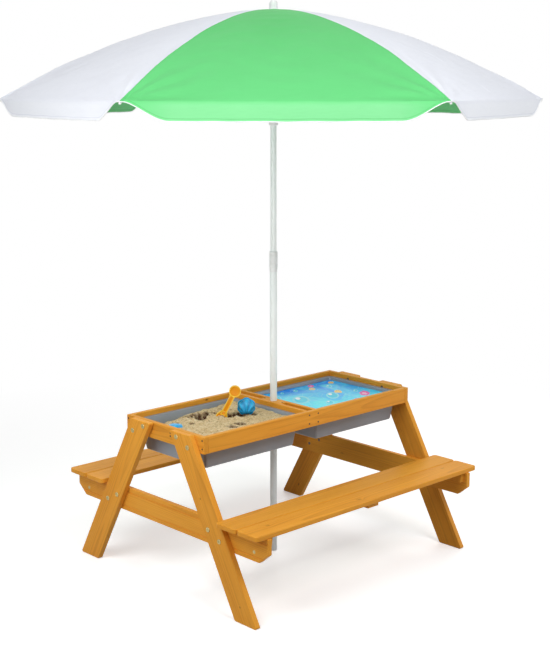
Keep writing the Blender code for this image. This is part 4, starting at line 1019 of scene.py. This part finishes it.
# The cap of a rib: a ball with a short sleeve that the wire goes into.
rib_angles = [math.radians(19.2) + math.pi / 3 * step for step in range(6)]
cap_reach, cap_height = 0.8040, 1.4068
clear()
bpy.ops.mesh.primitive_uv_sphere_add(segments=16, ring_count=10, radius=0.0036)
tip = settle(bpy.context.object, 60)
begin(tip)
pick(tip, lambda middle, item: middle.z < -0.0024)
extrude(0, 0, -0.006)
widen(1.1, 1.1, 1)
settle(tip, 50)
for number, angle in enumerate(rib_angles, 1):
    body = f"rib_{number}"
    smooth_copy(body, f"parasol_rib_{number}", body, coated, 50)
    smooth_copy(f"stretcher_{number}", f"parasol_stretcher_{number}", f"stretcher_{number}",
                coated, 50)
    outward = Vector((math.cos(angle) * 0.86, math.sin(angle) * 0.86, -0.51))
    place = Vector((cap_reach * math.cos(angle), cap_reach * math.sin(angle), cap_height))
    copied(tip, f"rib_tip_{number}", facing(place, outward), white_plastic, body)
bpy.data.objects.remove(tip)


# Canopy: six panels of woven polyester, three green and three white, sewn together along the
# ribs. A valance hangs from the rim, cut back in a curve at each tip and bound with white
# piping. The sheet is parted here along the middles of the panels, to fold with the ribs.
canopy_radius, canopy_top, canopy_drop, canopy_power = 0.808, 1.668, 0.258, 1.75
hole_radius, valance, tip_cut = 0.01275, 0.048, 0.115
half_panel = math.pi / 6


def cloth_point(reach, along, depth, number):
    """A point of the cloth near a rib on +X: its reach from the pole, its distance along the
    rim and its depth below the rim. The number varies the wrinkles from rib to rib."""
    half = reach * math.sin(half_panel)
    aside = abs(along)
    share = aside / half if half else 0.0
    outness = reach / canopy_radius
    fall = canopy_drop * outness ** canopy_power
    chord = Vector((-math.sin(half_panel), math.cos(half_panel), 0))
    point = Vector((reach, 0, canopy_top - fall)) + chord * aside
    point.z += 0.006 * math.sin(math.pi / 2 * share) * math.sin(math.pi * outness)
    # Creases that fan out from the tip, and a trough inside the rim that they run into.
    inward = canopy_radius - reach
    from_tip = math.hypot(inward, along)
    around = math.atan2(aside, inward + 1e-6)
    beside_rib = 1 - math.exp(-aside / 0.006)
    crease = math.exp(-from_tip / 0.12) * (1 - math.exp(-from_tip / 0.012)) * beside_rib
    point.z += 0.0042 * crease * math.cos(around * 12.0 + 0.8 * math.sin(number * 2.3))
    trough = math.exp(-((inward - 0.020) / 0.013) ** 2) * beside_rib
    point.z -= 0.0050 * trough * (0.25 + 0.75 * math.exp(-aside / 0.14))
    # The doubled seam over the rib, with the puckers of its stitching beside it.
    point.z += 0.0010 * math.exp(-(along / 0.0045) ** 2)
    pucker = math.sin(reach * 230 + 2.0 * math.sin(reach * 31 + number))
    point.z += 0.0009 * pucker * math.exp(-((aside - 0.018) / 0.018) ** 2) * outness
    # Faint wrinkles in the body of the panel, which die out where two gores meet.
    loose = noise.fractal(Vector((reach * 9 + along * 7, along * 14, number * 3.7)), 1.0, 2.0, 2)
    point.z += 0.0034 * loose * (1 - share ** 2) * outness * min(inward / 0.05, 1.0)
    point.z += 0.0008 * math.sin(reach * 95 + 5 * math.sin(aside * 14)) * share
    if depth:
        outward = Vector((math.cos(half_panel), math.sin(half_panel), 0))
        waves = math.sin(aside * 95) * math.exp(-aside / 0.09)
        point -= z_axis * depth
        point += outward * (0.0035 * (1 - math.exp(-depth / 0.01)) + 0.06 * depth * waves)
    if along < 0:
        point.y = -point.y
    return point


def valance_at(along):
    """How deep the valance hangs at a distance from the tip."""
    share = min(abs(along) / tip_cut, 1.0)
    return valance * (0.25 * share + 0.75 * share * share * (3 - 2 * share))


# The corners of one part, row by row from the hole to the rim and down the valance. A spot is
# what cloth_point takes, a mark its place on the flat cloth, a hem its distance to the border.
side_shares = [(column / 34) ** 1.6 for column in range(35)]
side_shares = [-share for share in reversed(side_shares[1:])] + side_shares
reaches = [hole_radius + (canopy_radius - hole_radius) * (row / 60) ** 0.82
           for row in range(61)]
drops = [0.04, 0.12, 0.25, 0.45, 0.65, 0.82, 0.94, 1.0]
spots, marks, hems = [], [], []
for reach in reaches:
    for share in side_shares:
        along = share * reach * math.sin(half_panel)
        spots.append((reach, along, 0.0))
        marks.append((along, reach))
        hems.append(1.0)
for drop in drops:
    for share in side_shares:
        along = share * canopy_radius * math.sin(half_panel)
        depth = valance_at(along) * drop
        spots.append((canopy_radius, along, max(depth, 1e-7)))
        marks.append((along, canopy_radius + depth))
        hems.append(valance_at(along) * (1 - drop))
width = len(side_shares)
faces = []
for row in range(len(reaches) + len(drops) - 1):
    for column in range(width - 1):
        start = row * width + column
        faces.append((start, start + width, start + width + 1, start + 1))


def cloth_finish(name, upper, lower, lit_valance, thread):
    """Woven polyester in one colour with painted light, sewn seams along the ribs and a hem."""
    finish = Finish(name, {"Sheen Weight": 0.15, "Specular IOR Level": 0.25})
    u, v, _ = finish.parts(finish.node("ShaderNodeUVMap", {"uv_map": "cloth"}))
    hem = finish.attribute("hem")
    yarn, stitch = math.tau / 0.0011, math.tau / 0.0042
    weave = (u * yarn).sine() * (v * yarn).sine()
    mottle = finish.noise(finish.place(), 6.0, 3.0)
    slub = finish.noise(finish.stretched(finish.place(), (30, 30, 260)), 1.0, 2.0)
    # Painted light: the cloth is darker near the top and lighter lower down.
    colour = finish.mix(((v - 0.30) * 1.9).held(), upper, lower)
    # Painted light: the valance is lighter, but not near the tips.
    past_rim = ((v - canopy_radius + 0.004) * 75.0).held()
    off_tip = ((u.size() - 0.015) * 9.0).held()
    colour = finish.mix(past_rim * off_tip, colour, lit_valance)
    colour = finish.mix(mottle * 0.12, colour, thread)
    colour = finish.mix(((slub - 0.45) * 2.0).held() * 0.10, colour, thread)
    seam = (1 - ((u.size() - 0.0040).size() * 1600.0)).held()
    dashes = ((v * stitch).sine() * 3.0).held()
    colour = finish.mix(seam * dashes * 0.6, colour, thread)
    doubled = (1 - (u.size() * 180.0)).held()
    colour = finish.mix(doubled * 0.35, colour, thread)
    # A stitched line along the hem, with painted shade of the hem's fold.
    hem_stitch_and_fold_shade = (1 - ((hem - 0.0065).size() * 700.0)).held()
    colour = finish.mix(hem_stitch_and_fold_shade * 0.55, colour, thread)
    finish.surface({"Base Color": colour, "Roughness": mottle * 0.15 + 0.62})
    finish.bump(weave * 0.5 + slub * 0.8 - hem_stitch_and_fold_shade * 1.5 - seam * 1.2, 0.00022, 0.6)
    return finish


# Each cloth gets a shaded upper tone, a lit lower tone and a lit valance tone, all painted light,
# then its thread colour.
green = cloth_finish("green_polyester", srgb(94, 204, 116), srgb(102, 210, 126),
                     srgb(130, 216, 148), srgb(54, 164, 78))
white = cloth_finish("white_polyester", srgb(240, 243, 251), srgb(240, 243, 251),
                     srgb(246, 249, 255), srgb(200, 206, 220))
piping_finish = Finish("white_piping", {"Sheen Weight": 0.2})
twill = piping_finish.node("ShaderNodeTexWave", None, {
    "Vector": piping_finish.place(), "Scale": 420.0, "Distortion": 1.5,
})
piping_finish.clouded(twill, srgb(238, 240, 242), srgb(250, 251, 252), 0.1, 0.7)
piping_finish.bump(twill, 0.0002, 0.5)

for number, angle in enumerate(rib_angles, 1):
    turn = Matrix.Rotation(angle, 4, "Z")
    mesh = bpy.data.meshes.new(f"canopy_cloth_{number}")
    mesh.from_pydata([cloth_point(*spot, number) for spot in spots], [], faces)
    gore = linked(f"canopy_cloth_{number}", mesh)
    marks_layer = mesh.uv_layers.new(name="cloth")
    for loop in mesh.loops:
        marks_layer.data[loop.index].uv = marks[loop.vertex_index]
    hem_layer = mesh.attributes.new("hem", "FLOAT", "POINT")
    hem_layer.data.foreach_set("value", hems)
    mesh.transform(turn)
    mesh.materials.append(green.material)
    mesh.materials.append(white.material)
    # The rib is the seam: the panel on one side of it is green and on the other side white.
    for index, face in enumerate(mesh.polygons):
        ahead = (index % (width - 1)) >= (width - 1) // 2
        face.material_index = (number + (0 if ahead else 1)) % 2
    begin(gore, action="SELECT")
    bpy.ops.mesh.remove_doubles(threshold=2 * hairline)
    thicken(gore, 0.0010)
    settle(gore, 60)
    body = f"rib_{number}"
    fit(gore, f"canopy_cloth_{number}", [green, white], body,
        [f"canopy_gore_{number}"])

    # The piping: a thin cord sewn round the lower edge of the valance.
    edge = [cloth_point(*spot, number) for spot in spots[-width:]]
    line = bpy.data.curves.new(f"canopy_piping_{number}", "CURVE")
    line.dimensions = "3D"
    line.bevel_depth = 0.0013
    line.bevel_resolution = 2
    line.use_fill_caps = True
    spline = line.splines.new("POLY")
    spline.points.add(len(edge) - 1)
    for spot, point in zip(spline.points, edge):
        spot.co = (*(turn @ point), 1.0)
    only(linked(f"canopy_piping_{number}", line))
    bpy.ops.object.convert(target="MESH")
    piping = settle(bpy.context.object, 60)
    fit(piping, f"canopy_piping_{number}", [piping_finish], body)

    # The cloth and its piping get meshes of their own. The fold of the rib and the line across it
    # are worked out but not used.
    joint = "umbrella_fold" if number == 1 else f"rib_{number}_fold"
    across = (-math.sin(angle), math.cos(angle), 0)
    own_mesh(gore)
    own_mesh(piping)


# Floor, light and camera: a plain white floor that keeps the soft shadows, and the camera of
# the photograph. The key stands in front, with weaker lamps low on the right, at the left end
# and behind, one at the left for the canopy and a narrow one for the pole.
def stand(name, device, place, direction):
    """Puts a lamp or the camera at a place and points it."""
    holder = linked(name, device)
    holder.location = place
    holder.rotation_euler = direction.to_track_quat("-Z", "Y").to_euler()
    return holder


white_light = (1, 1, 1)
clear()
bpy.ops.mesh.primitive_plane_add(size=60, location=(0, 0, -0.0005))
floor = bpy.context.object
floor.name = "studio_floor"
ground = Finish("white_studio_floor", {
    "Base Color": srgb(247, 247, 247), "Roughness": 0.9, "Specular IOR Level": 0.1,
})
# The shaded floor fades to white away from the table. Only the camera and glossy pieces see
# it so: the light that it throws back on the object is that of a duller floor.
x, y, _ = ground.parts(ground.place())
distance = ((x ** 2) + (y ** 2)) ** 0.5
rays = ground.node("ShaderNodeLightPath", output="Is Camera Ray")
gloss = ground.node("ShaderNodeLightPath", output="Is Glossy Ray")
far = ((distance - 0.9) / 1.6).held()
glow = ground.node("ShaderNodeEmission", None, {"Color": white_light, "Strength": 1.0})
lift = ground.node("ShaderNodeEmission", None, {"Color": white_light, "Strength": 0.37})
dull = ground.node("ShaderNodeBsdfDiffuse", None, {"Color": srgb(164, 164, 164)})
lit = Wire(ground, ground.shader.outputs[0])
near = ground.node("ShaderNodeAddShader", None, {0: lit, 1: lift})
shown = ground.node("ShaderNodeMixShader", None, {0: far, 1: near, 2: glow})
both = ground.node("ShaderNodeMixShader", None, {0: (rays + gloss).held(), 1: dull, 2: shown})
ground.feed(ground.tree.nodes["Material Output"], {"Surface": both})
floor.data.materials.append(ground.material)

# The camera, gloss and clear pieces see a white room, which lights the object more weakly.
world = bpy.data.worlds.new("studio")
bpy.context.scene.world = world
world.use_nodes = True
sky = Nodes(world.node_tree)
sky.feed(sky.tree.nodes["Background"], {"Color": white_light, "Strength": 0.23})
plain = Wire(sky, sky.tree.nodes["Background"].outputs[0])
bright = sky.node("ShaderNodeBackground", None, {"Color": white_light, "Strength": 1.0})
eye_ray, glossy_ray, clear_ray = [
    sky.node("ShaderNodeLightPath", output=f"Is {kind} Ray")
    for kind in ("Camera", "Glossy", "Transmission")
]
seen = eye_ray.most(glossy_ray).most(clear_ray)
choice = sky.node("ShaderNodeMixShader", None, {0: seen, 1: plain, 2: bright})
sky.feed(sky.tree.nodes["World Output"], {"Surface": choice})

for name, place, aim, size, power in (
    ("front_key", (-0.4, -3.1, 3.6), (0, -0.2, 0.4), 1.6, 81.0),
    ("right_front_light", (1.7, -1.5, 0.5), (0.25, -0.1, 0.45), 0.8, 6.5),
    ("left_end_light", (-1.60, 0.1, 0.95), (-0.45, 0, 0.35), 0.9, 6.2),
    ("canopy_light", (-2.6, -0.6, 3.35), (0, 0, 1.5), 1.6, 44.0),
    ("low_back_light", (3.6, 0.5, 0.9), (0, 0, 0.1), 1.2, 8.0),
    ("back_key", (2.3, 1.8, 2.2), (0, 0, 0.4), 1.3, 34.0),
):
    lamp = bpy.data.lights.new(name, "AREA")
    lamp.size = size
    lamp.energy = power
    holder = stand(name, lamp, place, Vector(aim) - Vector(place))
    holder.visible_glossy = name != "back_key"
beam = bpy.data.lights.new("pole_light", "SPOT")
beam.energy = 124.0
beam.spot_size = math.radians(38)
beam.spot_blend = 0.5
beam.shadow_soft_size = 0.25
stand("pole_light", beam, (-2.0, -2.0, 0.45), Vector((2.15, 1.85, 1.0)))

lens = bpy.data.cameras.new("photo_camera")
lens.lens = 69.3
lens.sensor_width = 36.0
yaw, pitch = math.radians(46.56), math.radians(10.75)
level = Vector((math.cos(yaw), math.sin(yaw), 0)) * math.cos(pitch)
forward = level - z_axis * math.sin(pitch)
camera = stand("photo_camera", lens, (-2.5937, -2.7455, 1.4441), forward)
bpy.context.scene.camera = camera
bpy.context.scene.view_settings.view_transform = "Standard"
